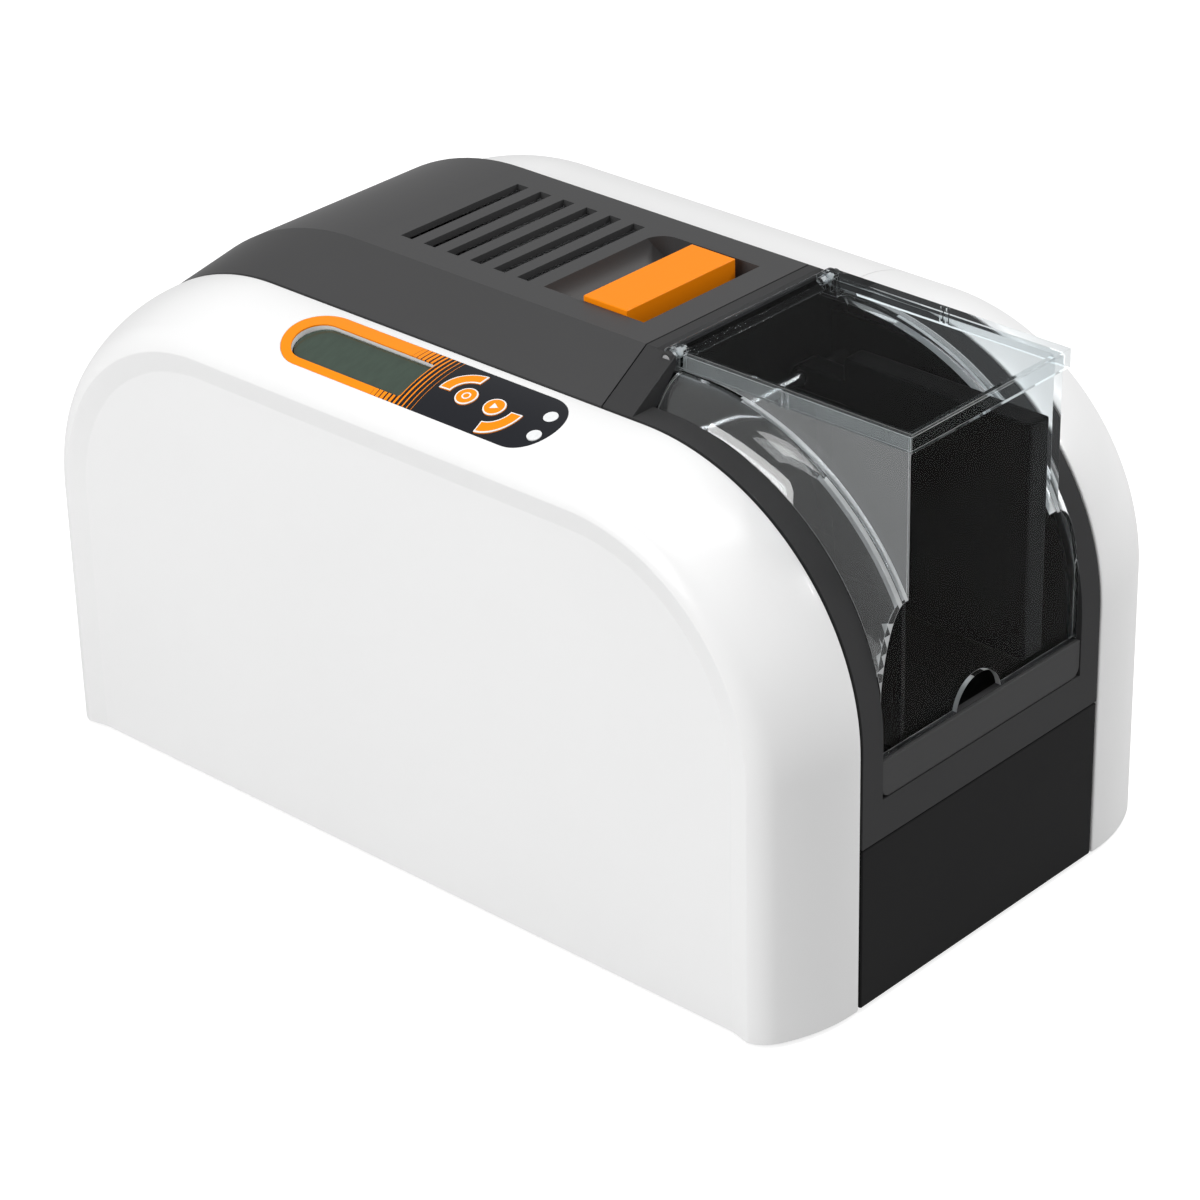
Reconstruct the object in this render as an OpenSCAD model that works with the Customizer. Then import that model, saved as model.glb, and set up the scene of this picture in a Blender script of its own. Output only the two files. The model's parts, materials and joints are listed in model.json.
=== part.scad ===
// Desktop card printer: arched casing with two white side shells, a dark core,
// a hinged top cover, and a clear card hopper with a hinged lid at one end.
// Millimetres. +X is the hopper end, -Y the side with the control panel.
// Z = 0 is the plane the rubber feet stand on.

/* [Casing] */
// Overall length
body_l = 360; // [356:1:366]
// Overall width over the side shells
body_w = 210; // [206:1:220]
// Height of the arch above the underside of the casing
arch_h = 190; // [188:1:194]
// Radius of the arch's corners
arch_r = 92; // [90:1:94]
// Width of the dark core between the side shells
core_w = 130; // [129:0.5:134]
// Half of the shadow gap between core and shells
groove = 0.5; // [0.3:0.1:1]
// Wall of the moulded covers
wall = 2.5; // [2:0.1:3]
// Height of the rubber feet
foot_h = 2; // [1:0.5:5]
// Diameter of the rubber feet
foot_d = 16; // [10:1:22]

/* [Side shells] */
// Small radius where the shell rolls over to the side
roll_r = 14; // [12:1:15]
// Depth at which the roll reaches the side plane
roll_drop = 20; // [19:1:24]
// Depth at which the recessed side band starts
band_start = 16; // [14:1:17]
// Depth at which the flat side panel starts
band_end = 24; // [22:1:30]
// How far the side panel is set in
band_in = 2.4; // [1:0.2:4]
// Depth of the inner lip beside the core
lip_depth = 8; // [4:1:12]
// Position of the joint between cover and hopper frame
seam_x = 68; // [67:0.5:69]
// Half gap of that joint
seam_gap = 0.3; // [0.2:0.05:0.5]

/* [Top cover] */
// Width of the raised flat crown
crown_w = 84; // [80:1:88]
// Rise of the crown above the arch
crown_rise = 14.5; // [12:0.5:16]
// Distance of the crown's rearmost point from the casing's end
crown_end = 3; // [2:0.5:4]
// Radius of the crown's rear shoulder
crown_r = 108; // [104:1:110]
// Number of vent slots
vent_n = 6; // [3:1:7]
// Distance between vent slots
vent_pitch = 11.25; // [10:0.25:12]
// Width of a vent slot
vent_w = 5.5; // [3:0.5:7]
// Length of a vent slot
vent_l = 60; // [40:2:66]
// Centre of the rearmost vent slot
vent_x = -56; // [-60:1:-54]
// Depth of the cover's rear hinge axis under the surface
hinge_depth = 9; // [8:0.5:10]
// Radius of the cover's rolled rear edge about its hinge
knuckle_r = 14; // [13:0.5:15]
// Angle of the cover hinge round the arch, from the vertical
hinge_turn = 41; // [39:0.5:43]

/* [Latch] */
// Length of the latch recess
recess_l = 46; // [44:1:48]
// Width of the latch recess
recess_w = 60; // [56:1:64]
// Rear end of the latch recess
recess_x = 10; // [9:1:12]
// Radius of the finger scoop's floor
scoop_r = 14; // [12:1:14]
// Thickness of the floor under the latch
recess_floor = 2; // [1.5:0.25:3]
// Length of the latch button
button_l = 20; // [18:1:21]
// Gap between button and recess at the near side
button_gap = 0.5; // [0.4:0.1:1]
// Gap between button and recess at the far side
button_far_gap = 3.5; // [1:0.5:4]
// Height of the button's top above the crown
button_proud = 1.8; // [0.5:0.1:2]
// Travel of the latch button
latch_travel = 6; // [4:0.5:7]

/* [Hopper] */
// Width of the side strips of the hopper frame
strip_w = 10.5; // [10:0.5:12]
// Height of the joint between front panel and hopper frame
front_joint = 62.2; // [58:0.2:66]
// Height of the grey lip plate's lower edge
lip_low = 77.4; // [74:0.2:80]
// Height of the grey lip plate's upper edge
lip_top = 91.3; // [90:0.1:92]
// Width of the clear box at the outside
box_w = 80; // [79:0.5:81]
// Inner face of the clear box's front wall is this far behind the casing's end
front_in = 1.8; // [1.2:0.1:2.4]
// Wall of the clear moulding
clear_wall = 2.2; // [1.8:0.1:2.5]
// Radius of the clear shoulder at its outer edge
shoulder_r = 90.1; // [89:0.1:90.5]
// Rise of the clear shoulder towards the box
shoulder_rise = 9.8; // [8:0.2:10]
// Width of the thumb notch
notch_w = 24; // [18:1:30]
// Height of the thumb notch
notch_h = 10; // [6:0.5:14]

/* [Lid] */
// Height of the lid's top above the crown
lid_proud = 1.8; // [1.6:0.1:2.4]
// Radius of the lid's rolled rear edge
lid_roll = 3.4; // [3.2:0.1:3.5]
// Height of the lid's rim
lid_rim = 6.9; // [5:0.1:7]
// Thickness of the lid
lid_t = 2; // [1.5:0.1:2.2]
// Thickness of the lid's rim
rim_t = 1.5; // [1.2:0.1:1.6]
// Radius of the lid's hinge pins
pin_r = 1.5; // [1.2:0.1:1.6]

/* [Cards and rollers] */
// Height of the deck that the cards stand over
deck_z = 86; // [84:0.5:86]
// Thickness of the deck
deck_t = 3; // [2:0.5:4]
// Lowest edge of a card in the track
card_z = 93; // [92:0.5:94]
// Short side of a card
card_h = 54; // [53.9:0.1:54.1]
// Radius of the rubber rollers
roller_r = 8; // [7.5:0.1:8.2]
// Radius of the roller spindles
spindle_r = 3; // [2.5:0.1:3.5]
// Distance of the roller axes from the middle of the core
roller_y = 45; // [44:0.5:46]
// Position of the entry roller
entry_x = 45; // [42:1:47]
// Position of the exit roller
exit_x = -90; // [-95:1:-85]
// Position of the pick roller
pick_x = 90; // [88:1:92]
// Radius of the belt pulleys
pulley_r = 6; // [5:0.2:6.4]
// Thickness of the drive belt
belt_t = 1.2; // [0.8:0.1:1.5]
// Width of the drive belt
belt_w = 4; // [3:0.5:4.5]
// Gear module
gear_m = 1; // [1:1:1]
// Teeth of the platen gear
platen_teeth = 24; // [24:12:24]
// Teeth of the motor pinions
pinion_teeth = 12; // [12:12:12]
// Teeth of the take-up gear
takeup_teeth = 30; // [30:2:30]
// Thickness of the gears
gear_t = 4; // [3:0.5:5]
// Thickness of the card pusher
pusher_t = 10.2; // [8:0.2:11]
// Radius of the card pusher's guide rods
rod_r = 2.5; // [2:0.1:3]

/* [Ribbon and print head] */
// Distance of each ribbon spool from the head's middle line
spool_x = 38; // [36:1:40]
// Distance of the spool axes behind the middle of the core
spool_y = 8; // [6:1:10]
// Radius of the full ribbon roll
supply_r = 17; // [12:0.5:18]
// Radius of the used ribbon roll
takeup_r = 10; // [8:0.5:14]
// Width of the print head
head_w = 24; // [20:1:26]
// Travel of the print head
head_travel = 3; // [2:0.5:4]

/* [Control panel] */
// Left end of the panel
panel_x0 = -60; // [-62:1:-58]
// Right end of the panel
panel_x1 = 66; // [66:0.5:67]
// Distance of the panel's middle line from the middle of the casing
panel_u = 83.8; // [83:0.1:84.5]
// Radius of the panel's round ends
panel_r = 14; // [13:0.5:14.5]
// Thickness of the panel's overlay
overlay_t = 0.6; // [0.4:0.1:1]
// Radius of the round keys
key_r = 4.2; // [3.8:0.1:4.4]
// Radius of the arc keys' middle line
arc_key_r = 9.8; // [9.6:0.1:10]
// Width of the arc keys
arc_key_w = 5; // [4:0.2:5.2]
// Travel of the keys
key_travel = 0.8; // [0.4:0.1:1]
// Radius of the status lights
led_r = 2.6; // [1.5:0.1:3]

/* [Fits] */
// Radial clearance of a spindle in its bearing
fit = 0.05; // [0.03:0.01:0.08]
// Clearance round a part that moves
gap = 0.3; // [0.25:0.05:0.4]

/* [Hidden] */
$fn = 96;
far = 400;

// casing
half_l = body_l / 2;
half_w = body_w / 2;
arch_cx = half_l - arch_r;
arch_cz = arch_h - arch_r;
core_y = core_w / 2 - groove;
shell_y = core_w / 2 + groove;
flat_u = shell_y + wall;
roll_u = half_w - roll_r;
shoulder_u = roll_u - flat_u;
big_r = (shoulder_u * shoulder_u + roll_drop * roll_drop - roll_r * roll_r)
      / (2 * (roll_drop - roll_r));
roll_from = asin(shoulder_u / (big_r - roll_r));
roll_to = acos((roll_drop - band_start) / roll_r);
side_u = half_w - band_in;
tray_t = 3;
plate_t = 1.5;
plate_y = core_y - 3;
plate_in = 5;

module up() translate([0, 0, foot_h]) children();
// an upright drawing (x, z) made thick from y = a to y = b
module slab(a, b) translate([0, b, 0]) rotate([90, 0, 0]) linear_extrude(b - a) children();
// a drawing in (y, z) made thick from x = a to x = b
module across(a, b) translate([a, 0, 0]) rotate([90, 0, 90]) linear_extrude(b - a) children();
// a plan drawing made thick from z = a to z = b
module plan(a, b) translate([0, 0, a]) linear_extrude(b - a) children();
module block(a, b) translate(a) cube(b - a);
module both_sides() for (s = [0, 1]) mirror([0, s, 0]) children();

// side view of the arch, drawn in by n
module arch(n) {
    for (s = [-1, 1]) translate([s * arch_cx, arch_cz]) circle(arch_r - n);
    translate([-arch_cx, 0]) square([2 * arch_cx, arch_h - n]);
    translate([n - half_l, 0]) square([body_l - 2 * n, arch_cz]);
}
// section through a side shell: [depth from the arch, distance from the middle]
function arc_pts(cu, cn, r, a, b, n) =
    [for (i = [0:n]) let (t = a + (b - a) * i / n) [cn - r * cos(t), cu + r * sin(t)]];
arc_steps = 8;
shell_outside = concat(
    [[0, shell_y]],
    arc_pts(flat_u, big_r, big_r, 0, roll_from, arc_steps),
    arc_pts(roll_u, roll_drop, roll_r, roll_from, roll_to, arc_steps),
    [[band_end, side_u]]);
shell_inside = concat(
    [[band_end, side_u - wall]],
    arc_pts(roll_u, roll_drop, roll_r - wall, roll_to, roll_from, arc_steps),
    arc_pts(flat_u, big_r, big_r - wall, roll_from, 0, arc_steps),
    [[lip_depth, flat_u], [lip_depth, shell_y]]);
shell_section = concat(shell_outside, shell_inside);

module shell_leg() {
    translate([arch_cx, 0, 0]) linear_extrude(arch_cz)
        polygon([for (p = shell_section) [arch_r - p[0], p[1]]]);
    translate([arch_cx, 0, arch_cz]) rotate([90, 0, 0]) rotate_extrude(angle = 90)
        polygon([for (p = shell_section) [arch_r - p[0], -p[1]]]);
}
module side_shell() {
    shell_leg();
    mirror([1, 0, 0]) shell_leg();
    across(-arch_cx, arch_cx) polygon([for (p = shell_section) [p[1], arch_h - p[0]]]);
    slab(side_u - wall, side_u) arch(band_end - 1);
}

module base_tray() up() color("#2b2b2c") {
    difference() {
        union() {
            block([-half_l + wall + 1, -core_y, 0], [half_l - wall - 1, core_y, tray_t]);
            block([-tray_x, -tray_y, 0], [tray_x, tray_y, tray_t]);
        }
        for (i = [0:tray_vents - 1], s = [-1, 1])
            translate([i * tray_vent_pitch - tray_vent_pitch * (tray_vents - 1) / 2, s * tray_y / 2, -1])
                linear_extrude(tray_t + 2) square([tray_vent_w, tray_y / 2], center = true);
    }
    // posts that carry the main board
    for (x = board_posts_x, y = board_posts_y)
        translate([x, y, tray_t]) cylinder(r = 3, h = board_z - tray_t);
}
tray_x = half_l - band_end;
tray_y = side_u - wall - gap;
tray_vents = 9;
tray_vent_pitch = 16;
tray_vent_w = 5;
board_z = 10;
board_x = [-150, -30];
board_y = [-50, 0];
board_posts_x = [board_x[0] + 8, board_x[1] - 8];
board_posts_y = [board_y[0] + 8, board_y[1] - 8];

feet_x = half_l - 30;
feet_y = half_w - 25;
module feet() color("#1c1c1c")
    for (x = [-feet_x, feet_x], y = [-feet_y, feet_y])
        translate([x, y, 0]) cylinder(d = foot_d, h = foot_h);

// control panel's own frame: origin on the shell, W square to the shell
panel_sin = (panel_u - flat_u) / big_r;
panel_tilt = asin(panel_sin);
panel_z = arch_h - big_r + big_r * cos(panel_tilt);
module on_panel() up() translate([0, -panel_u, panel_z]) rotate([panel_tilt, 0, 0]) children();
function sag(v) = big_r - sqrt(big_r * big_r - v * v);
module stadium(x0, x1, r) {
    translate([x0 + r, 0]) circle(r);
    translate([x1 - r, 0]) circle(r);
    translate([x0 + r, -r]) square([x1 - x0 - 2 * r, 2 * r]);
}
// the round bar whose surface is the shell's upper curve, drawn in by n
module shell_bar(n, length) up() translate([0, -flat_u, arch_h - big_r]) rotate([0, 90, 0])
    cylinder(r = big_r - n, h = length, center = true, $fn = 360);
key_u = [25.1, 38];
key_v = -0.7;
arc_turn = [138, -41];
arc_span = 90;
lcd_x = [-54.4, 2];
lcd_v = [-10.2, 7.4];
lcd_depth = 2.2;
led_at = [[59, 4.3], [60.3, -5.6]];
module lcd_shape(grow) {
    r = (lcd_v[1] - lcd_v[0]) / 2 + grow;
    vm = (lcd_v[1] + lcd_v[0]) / 2;
    translate([lcd_x[0] - grow + r, vm]) circle(r);
    translate([lcd_x[0] - grow + r, vm - r]) square([lcd_x[1] - lcd_x[0] + 2 * grow - r, 2 * r]);
}
module arc_key_shape(k, grow) translate([key_u[k], key_v]) rotate(arc_turn[k]) {
    difference() {
        circle(arc_key_r + arc_key_w / 2 + grow);
        circle(arc_key_r - arc_key_w / 2 - grow);
        // keep only the sector in front of the middle
        for (s = [-1, 1]) rotate(s * arc_span / 2) translate([-far, s > 0 ? grow : -far - grow])
            square([2 * far, far]);
        translate([-far, -far]) square([far, 2 * far]);
    }
}
module round_key_shape(k, grow) translate([key_u[k], key_v]) circle(key_r + grow);
module panel_holes(grow) {
    for (k = [0, 1]) { arc_key_shape(k, grow); round_key_shape(k, grow); }
    for (p = led_at) translate(p) circle(led_r + grow / 3);
}
module panel_cut() difference() {
    on_panel() translate([0, 0, -10]) linear_extrude(20)
        stadium(panel_x0 - gap / 2, panel_x1 + gap / 2, panel_r + gap / 2);
    shell_bar(overlay_t, far);
}
module near_shell() color("#eeeff0") difference() {
    up() mirror([0, 1, 0]) side_shell();
    panel_cut();
    on_panel() translate([0, 0, -8]) linear_extrude(20) {
        lcd_shape(0.6);
        panel_holes(gap);
    }
}
module far_side(a, b) intersection() {
    side_shell();
    block([a, 0, -1], [b, far, far]);
}
module far_shell() up() color("#eeeff0") far_side(-far, seam_x - seam_gap / 2);
module far_shell_front() up() color("#eeeff0") far_side(seam_x + seam_gap / 2, far);

// hinge axis of the top cover
hinge_x = -arch_cx - (arch_r - hinge_depth) * sin(hinge_turn);
hinge_z = arch_cz + (arch_r - hinge_depth) * cos(hinge_turn);
hinge_pin_r = 2;
ear_y = [54, 57];
ear_r = 5;
knuckle_gap = 0.5;
crown_top = arch_h + crown_rise;
crown_cz = crown_top - crown_r;
crown_cx = crown_r + crown_end - half_l;
skirt_depth = 12;
function facet_z(y) = arch_h + crown_rise * (core_y - y) / (core_y - crown_w / 2);

// everything behind the line from the arch's centre through the cover hinge
module behind_hinge() translate([-arch_cx, arch_cz]) rotate(hinge_turn)
    translate([-far, -far]) square([far, 2 * far]);
module at_hinge() translate([hinge_x, hinge_z]) children();

module rear_panel() up() color("#262627") difference() {
    slab(-core_y, core_y) difference() {
        intersection() {
            difference() { arch(0); arch(wall); }
            behind_hinge();
            translate([-far, 0]) square([far, far]);
        }
        at_hinge() circle(knuckle_r + knuckle_gap);
    }
    // card exit
    block([-far, exit_slot_y[0], exit_slot_z[0]], [-half_l / 2, exit_slot_y[1], exit_slot_z[1]]);
    // grille in front of the fan
    for (i = [0:fan_bars - 1])
        block([-half_l - 1, fan_y - fan_r, fan_z - fan_r + i * fan_bar_pitch],
              [-half_l + wall + 1, fan_y + fan_r, fan_z - fan_r + i * fan_bar_pitch + fan_bar_gap]);
    // openings for the power inlet, the data socket and the power switch
    for (s = socket_cuts) block([-half_l - 1, s[0], s[2]], [-half_l + wall + 1, s[1], s[3]]);
    // screw holes
    for (p = rear_screws) translate([-half_l, p[0], p[1]]) rotate([0, 90, 0]) {
        translate([0, 0, -1]) cylinder(r = screw_r, h = wall + 2);
        translate([0, 0, -1]) cylinder(r = screw_head_r, h = screw_head_t + 1);
    }
}
exit_slot_y = [-roller_y + roller_r - 4.5, -roller_y + roller_r + 5];
exit_slot_z = [card_z - 2, card_z + card_h + 2];
fan_y = 28;
fan_z = 45;
fan_r = 22;
fan_size = 50;
fan_bar_pitch = 5.5;
fan_bar_gap = 3;
fan_bars = floor(2 * fan_r / fan_bar_pitch);
inlet_y = -38;
usb_y = -16;
socket_z = 20;
inlet_size = [14, 12];
usb_size = [13, 12];
switch_y = -38;
switch_z = 45;
switch_size = [14, 20];
function cut_at(y, z, s) = [y - s[0] / 2 - gap, y + s[0] / 2 + gap, z - s[1] / 2 - gap, z + s[1] / 2 + gap];
socket_cuts = [cut_at(inlet_y, socket_z, inlet_size), cut_at(usb_y, socket_z, usb_size),
               cut_at(switch_y, switch_z, switch_size)];
screw_r = 1.5;
screw_head_r = 2.8;
screw_head_t = 1.4;
screw_l = 6;
rear_screws = [[-58, 10], [58, 10], [-58, 84], [58, 84]];

module front_panel() up() color("#2a2a2b")
    block([half_l - wall, -core_y, 0], [half_l, core_y, front_joint - seam_gap]);

// a steel side frame, drawn in from the arch, with an arm for the cover hinge
module side_plate() slab(plate_y - plate_t, plate_y) difference() {
    union() {
        difference() {
            intersection() {
                arch(plate_in);
                translate([-half_l + plate_in, tray_t])
                    square([body_l - 2 * plate_in, arch_h]);
            }
            at_hinge() circle(knuckle_r + 1);
            // weight-saving windows
            for (x = plate_windows) translate([x, 22]) square([44, 36]);
        }
        at_hinge() {
            circle(ear_r);
            rotate(-45) translate([0, -ear_r * 0.9]) square([knuckle_r + 6, ear_r * 1.8]);
        }
    }
    at_hinge() circle(hinge_pin_r);
}
plate_windows = [-150, -90, 88];
module side_plate_far() up() color("#8d9093") side_plate();
module side_plate_near() up() color("#8d9093") mirror([0, 1, 0]) side_plate();

// outline of the top cover seen from the side, drawn in by n
module cover_outline(cx, cz, r, n, reach) {
    translate([cx, cz]) circle(r - n, $fn = 128);
    translate([cx, cz]) square([seam_x - seam_gap + reach - cx, r - n]);
}
module cover_body(n, reach) hull() {
    slab(-core_y + n, core_y - n) cover_outline(-arch_cx, arch_cz, arch_r, n, reach);
    slab(-crown_w / 2 + n / 2, crown_w / 2 - n / 2)
        cover_outline(crown_cx, crown_cz, crown_r, n, reach);
}
recess_z = arch_h + recess_floor;
recess_end = recess_x + recess_l;
recess_corner = 8;
button_x1 = recess_end - latch_travel - 2;
button_x0 = button_x1 - button_l;
stem_x = [button_x0 + 4, button_x1 - 4];
stem_y = 18;
module recess() intersection() {
    slab(-recess_w / 2, recess_w / 2) {
        translate([recess_x + scoop_r, recess_z + scoop_r]) circle(scoop_r);
        translate([recess_x + scoop_r, recess_z]) square([recess_l - scoop_r, far]);
    }
    plan(0, crown_top + 1) difference() {
        translate([recess_x, -recess_w / 2]) square([recess_l, recess_w]);
        translate([recess_x, recess_w / 2 - recess_corner]) difference() {
            translate([-1, 0]) square(recess_corner + 1);
            translate([recess_corner, 0]) circle(recess_corner);
        }
    }
}
module top_cover() up() color("#363637") difference() {
    union() {
        difference() {
            cover_body(0, 0);
            cover_body(wall, wall + 2);
        }
        // tray that carries the latch
        block([recess_x - 2, -recess_w / 2 - 2, arch_h], [recess_end + 2, recess_w / 2 + 2, crown_top]);
        // hinge ears
        both_sides() slab(ear_y[0], ear_y[1]) at_hinge() {
            circle(ear_r);
            rotate(hinge_turn) translate([-ear_r * 0.9, 0]) square([ear_r * 1.8, hinge_depth - wall / 2]);
        }
    }
    // open underneath
    difference() {
        slab(-far, far) arch(skirt_depth);
        slab(-ear_y[1], ear_y[1]) at_hinge() circle(knuckle_r);
    }
    slab(-far, far) difference() {
        behind_hinge();
        at_hinge() circle(knuckle_r);
    }
    recess();
    block([stem_x[0] - gap, -stem_y - gap, 0], [stem_x[1] + latch_travel + gap, stem_y + gap, far]);
    for (i = [0:vent_n - 1])
        block([vent_x + i * vent_pitch - vent_w / 2, -vent_l / 2, arch_h],
              [vent_x + i * vent_pitch + vent_w / 2, vent_l / 2, far]);
    slab(-far, far) at_hinge() circle(hinge_pin_r + fit);
}
module cover_hinge_pins() up() color("#b9bcc0") both_sides()
    slab(ear_y[0] - 0.5, plate_y) at_hinge() circle(hinge_pin_r);

hook_z = [174, 176.5];
hook_x = [button_x1 - 6, button_x1 - 2];
hook_y = 12;
module latch_button() up() color("#fc8c04") {
    block([button_x0, -recess_w / 2 + button_gap, recess_z + gap],
          [button_x1, recess_w / 2 - button_far_gap, crown_top + button_proud]);
    block([stem_x[0], -stem_y, arch_h - 2.3], [stem_x[1], stem_y, recess_z + gap + 1]);
    // flange under the tray, and the hook that hangs from it
    block([button_x0, -stem_y - 4, arch_h - gap - 2], [button_x1, stem_y + 4, arch_h - gap]);
    block([hook_x[1] - 2, -hook_y, hook_z[0]], [hook_x[1], hook_y, arch_h - gap - 1]);
    block([hook_x[0] + 1.2, -hook_y, hook_z[0]], [hook_x[1], hook_y, hook_z[1]]);
}
keeper_w = 6;
module latch_keeper() up() color("#8d9093") difference() {
    block([hook_x[0] - keeper_w, -plate_y + plate_t, hook_z[1] + 0.5],
          [hook_x[0], plate_y - plate_t, hook_z[1] + 3]);
    for (s = [-1, 1]) translate([hook_x[0] - keeper_w / 2, s * (plate_y - 6), 0]) cylinder(r = 1.5, h = far);
}

// hopper frame
frame_x = seam_x + seam_gap;
strip_y = core_y - strip_w;
frame_low = front_joint + seam_gap;
lid_top = crown_top + lid_proud;
lid_hx = frame_x + 10.3;
lid_hz = lid_top - lid_roll;
lid_y = box_w / 2 + gap + rim_t;
frame_ear_y = [lid_y + gap + 0.2, lid_y + gap + 2.2];
// lid and clear cover, both fully open
lid_swing = 128;
strip_t = 4;
bar_t = 4.5;
lip_t = 1.7;
deck_low = deck_z - deck_t;
card_y = -roller_y + roller_r + 0.4;
module frame_section(drop) polygon([
    [-core_y, arch_h - drop], [-crown_w / 2, crown_top - drop],
    [crown_w / 2, crown_top - drop], [core_y, arch_h - drop]]);
module hopper_frame() up() color("#2e2e2f") difference() {
    union() {
        both_sides() slab(strip_y, core_y) intersection() {
            difference() { arch(0); arch(wall); }
            translate([frame_x, frame_low]) square([far, far]);
        }
        // bar across the end, under the clear cover
        block([half_l - bar_t, -core_y, frame_low], [half_l, core_y, lip_top]);
        // wall between hopper and rollers
        across(frame_x, frame_x + wall) {
            frame_section(0);
            translate([-core_y, arch_h - plate_in + gap]) square([2 * core_y, plate_in - gap]);
            translate([-plate_y + plate_t, deck_z]) square([2 * (plate_y - plate_t), arch_h - deck_z]);
        }
        // crown strip behind the lid
        across(frame_x, lid_hx - lid_roll - 0.5) difference() {
            frame_section(0);
            frame_section(strip_t);
            both_sides() translate([strip_y, 0]) square([far, far]);
        }
        // facets beside the lid
        both_sides() across(frame_x, shoulder_x0 - 1.1) polygon([
            [frame_ear_y[0], facet_z(frame_ear_y[0]) - strip_t], [strip_y, arch_h - wall],
            [core_y, arch_h - wall], [core_y, arch_h], [frame_ear_y[0], facet_z(frame_ear_y[0])]]);
        // ears of the lid hinge
        both_sides() slab(frame_ear_y[0], frame_ear_y[1]) translate([lid_hx, lid_hz]) circle(pin_r + 0.8);
    }
    // slope that lets the lid swing back while the clear cover is up
    slab(-frame_ear_y[0], frame_ear_y[0]) translate([lid_hx, lid_hz]) rotate(lid_swing)
        translate([0, 0]) square([far, lid_roll + gap]);
    // seat of the lip plate
    block([half_l - 2, -strip_y - 0.1, lip_low - gap], [half_l + 1, strip_y + 0.1, far]);
    // card slot
    block([frame_x - 1, card_y - 1.2, card_z - 1], [frame_x + wall + 1, card_y + 1.6, card_z + card_h + 1]);
    both_sides() slab(frame_ear_y[0] - 1, frame_ear_y[1]) translate([lid_hx, lid_hz]) circle(pin_r);
}
lip_corner = 4;
module lip_plate() up() color("#3f3f40") across(half_l - 2, half_l - 2 + lip_t) {
    translate([-strip_y + lip_corner, lip_low]) square([2 * (strip_y - lip_corner), lip_top - lip_low]);
    translate([-strip_y, lip_low + lip_corner]) square([2 * strip_y, lip_top - lip_low - lip_corner]);
    for (s = [-1, 1]) translate([s * (strip_y - lip_corner), lip_low + lip_corner]) circle(lip_corner);
}

// clear cover: box with rounded shoulders that follow the arch
cover_gap = 0.4;
clear_y = strip_y - cover_gap;
clear_front = half_l - front_in;
clear_low = lip_top + cover_gap;
shoulder_cx = half_l - shoulder_r;
shoulder_cz = arch_h - 1.1 - shoulder_r;
shoulder_top_y = box_w / 2 + 1.5;
shoulder_x0 = lid_hx + lid_roll + 0.4;
box_top = lid_top - lid_t - gap;
ear_pin_r = 2.5;
function shoulder(y) = shoulder_r + shoulder_rise
    * (1 - pow((max(abs(y), shoulder_top_y) - shoulder_top_y) / (clear_y - shoulder_top_y), 2));
shoulder_steps = 8;
function shoulder_ys() = [for (i = [0:shoulder_steps])
    shoulder_top_y + (clear_y - shoulder_top_y) * i / shoulder_steps];
shoulder_yy = concat([for (i = [shoulder_steps:-1:0]) -shoulder_ys()[i]], shoulder_ys());
module shoulders(n, x0) {
    translate([shoulder_cx, 0, shoulder_cz]) rotate([90, 0, 0]) rotate_extrude(angle = 90)
        polygon(concat([[0, -clear_y]], [for (y = shoulder_yy) [shoulder(y) - n, y]], [[0, clear_y]]));
    across(x0, shoulder_cx) polygon(concat([[-clear_y, shoulder_cz]],
        [for (y = shoulder_yy) [y, shoulder_cz + shoulder(y) - n]], [[clear_y, shoulder_cz]]));
    plan(clear_low - (n > 0 ? 1 : 0), shoulder_cz) polygon(concat([[x0, -clear_y]],
        [for (y = shoulder_yy) [shoulder_cx + shoulder(y) - n, y]], [[x0, clear_y]]));
}
module upto(x) intersection() { children(); block([-far, -far, -far], [x, far, far]); }
notch_y = -1;
notch_r = (notch_w * notch_w / 4 + notch_h * notch_h) / (2 * notch_h);
module hopper_cover() up() color("#c9d3d8", 0.35) difference() {
    union() {
        upto(clear_front) shoulders(0, shoulder_x0);
        block([shoulder_x0, -box_w / 2, clear_low], [clear_front, box_w / 2, box_top]);
        both_sides() slab(box_w / 2 - clear_wall, box_w / 2) {
            translate([lid_hx, lid_hz]) circle(ear_pin_r);
            translate([lid_hx - ear_pin_r, shoulder_cz + shoulder_r])
                square([2 * ear_pin_r, lid_hz - shoulder_cz - shoulder_r]);
            translate([lid_hx - ear_pin_r, shoulder_cz + shoulder_r])
                square([shoulder_x0 - lid_hx + ear_pin_r + 1, lid_hz - 4 - shoulder_cz - shoulder_r]);
        }
    }
    upto(clear_front - clear_wall) shoulders(clear_wall, 0);
    block([0, -box_w / 2 + clear_wall, 0], [clear_front - clear_wall, box_w / 2 - clear_wall, far]);
    across(clear_front - clear_wall - 1, clear_front + 1)
        translate([notch_y, clear_low + notch_h - notch_r]) circle(notch_r);
    both_sides() slab(box_w / 2 - clear_wall - 1, box_w / 2 + 1)
        translate([lid_hx, lid_hz]) circle(pin_r + fit);
}
rib_x = lid_hx + 47;
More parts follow.
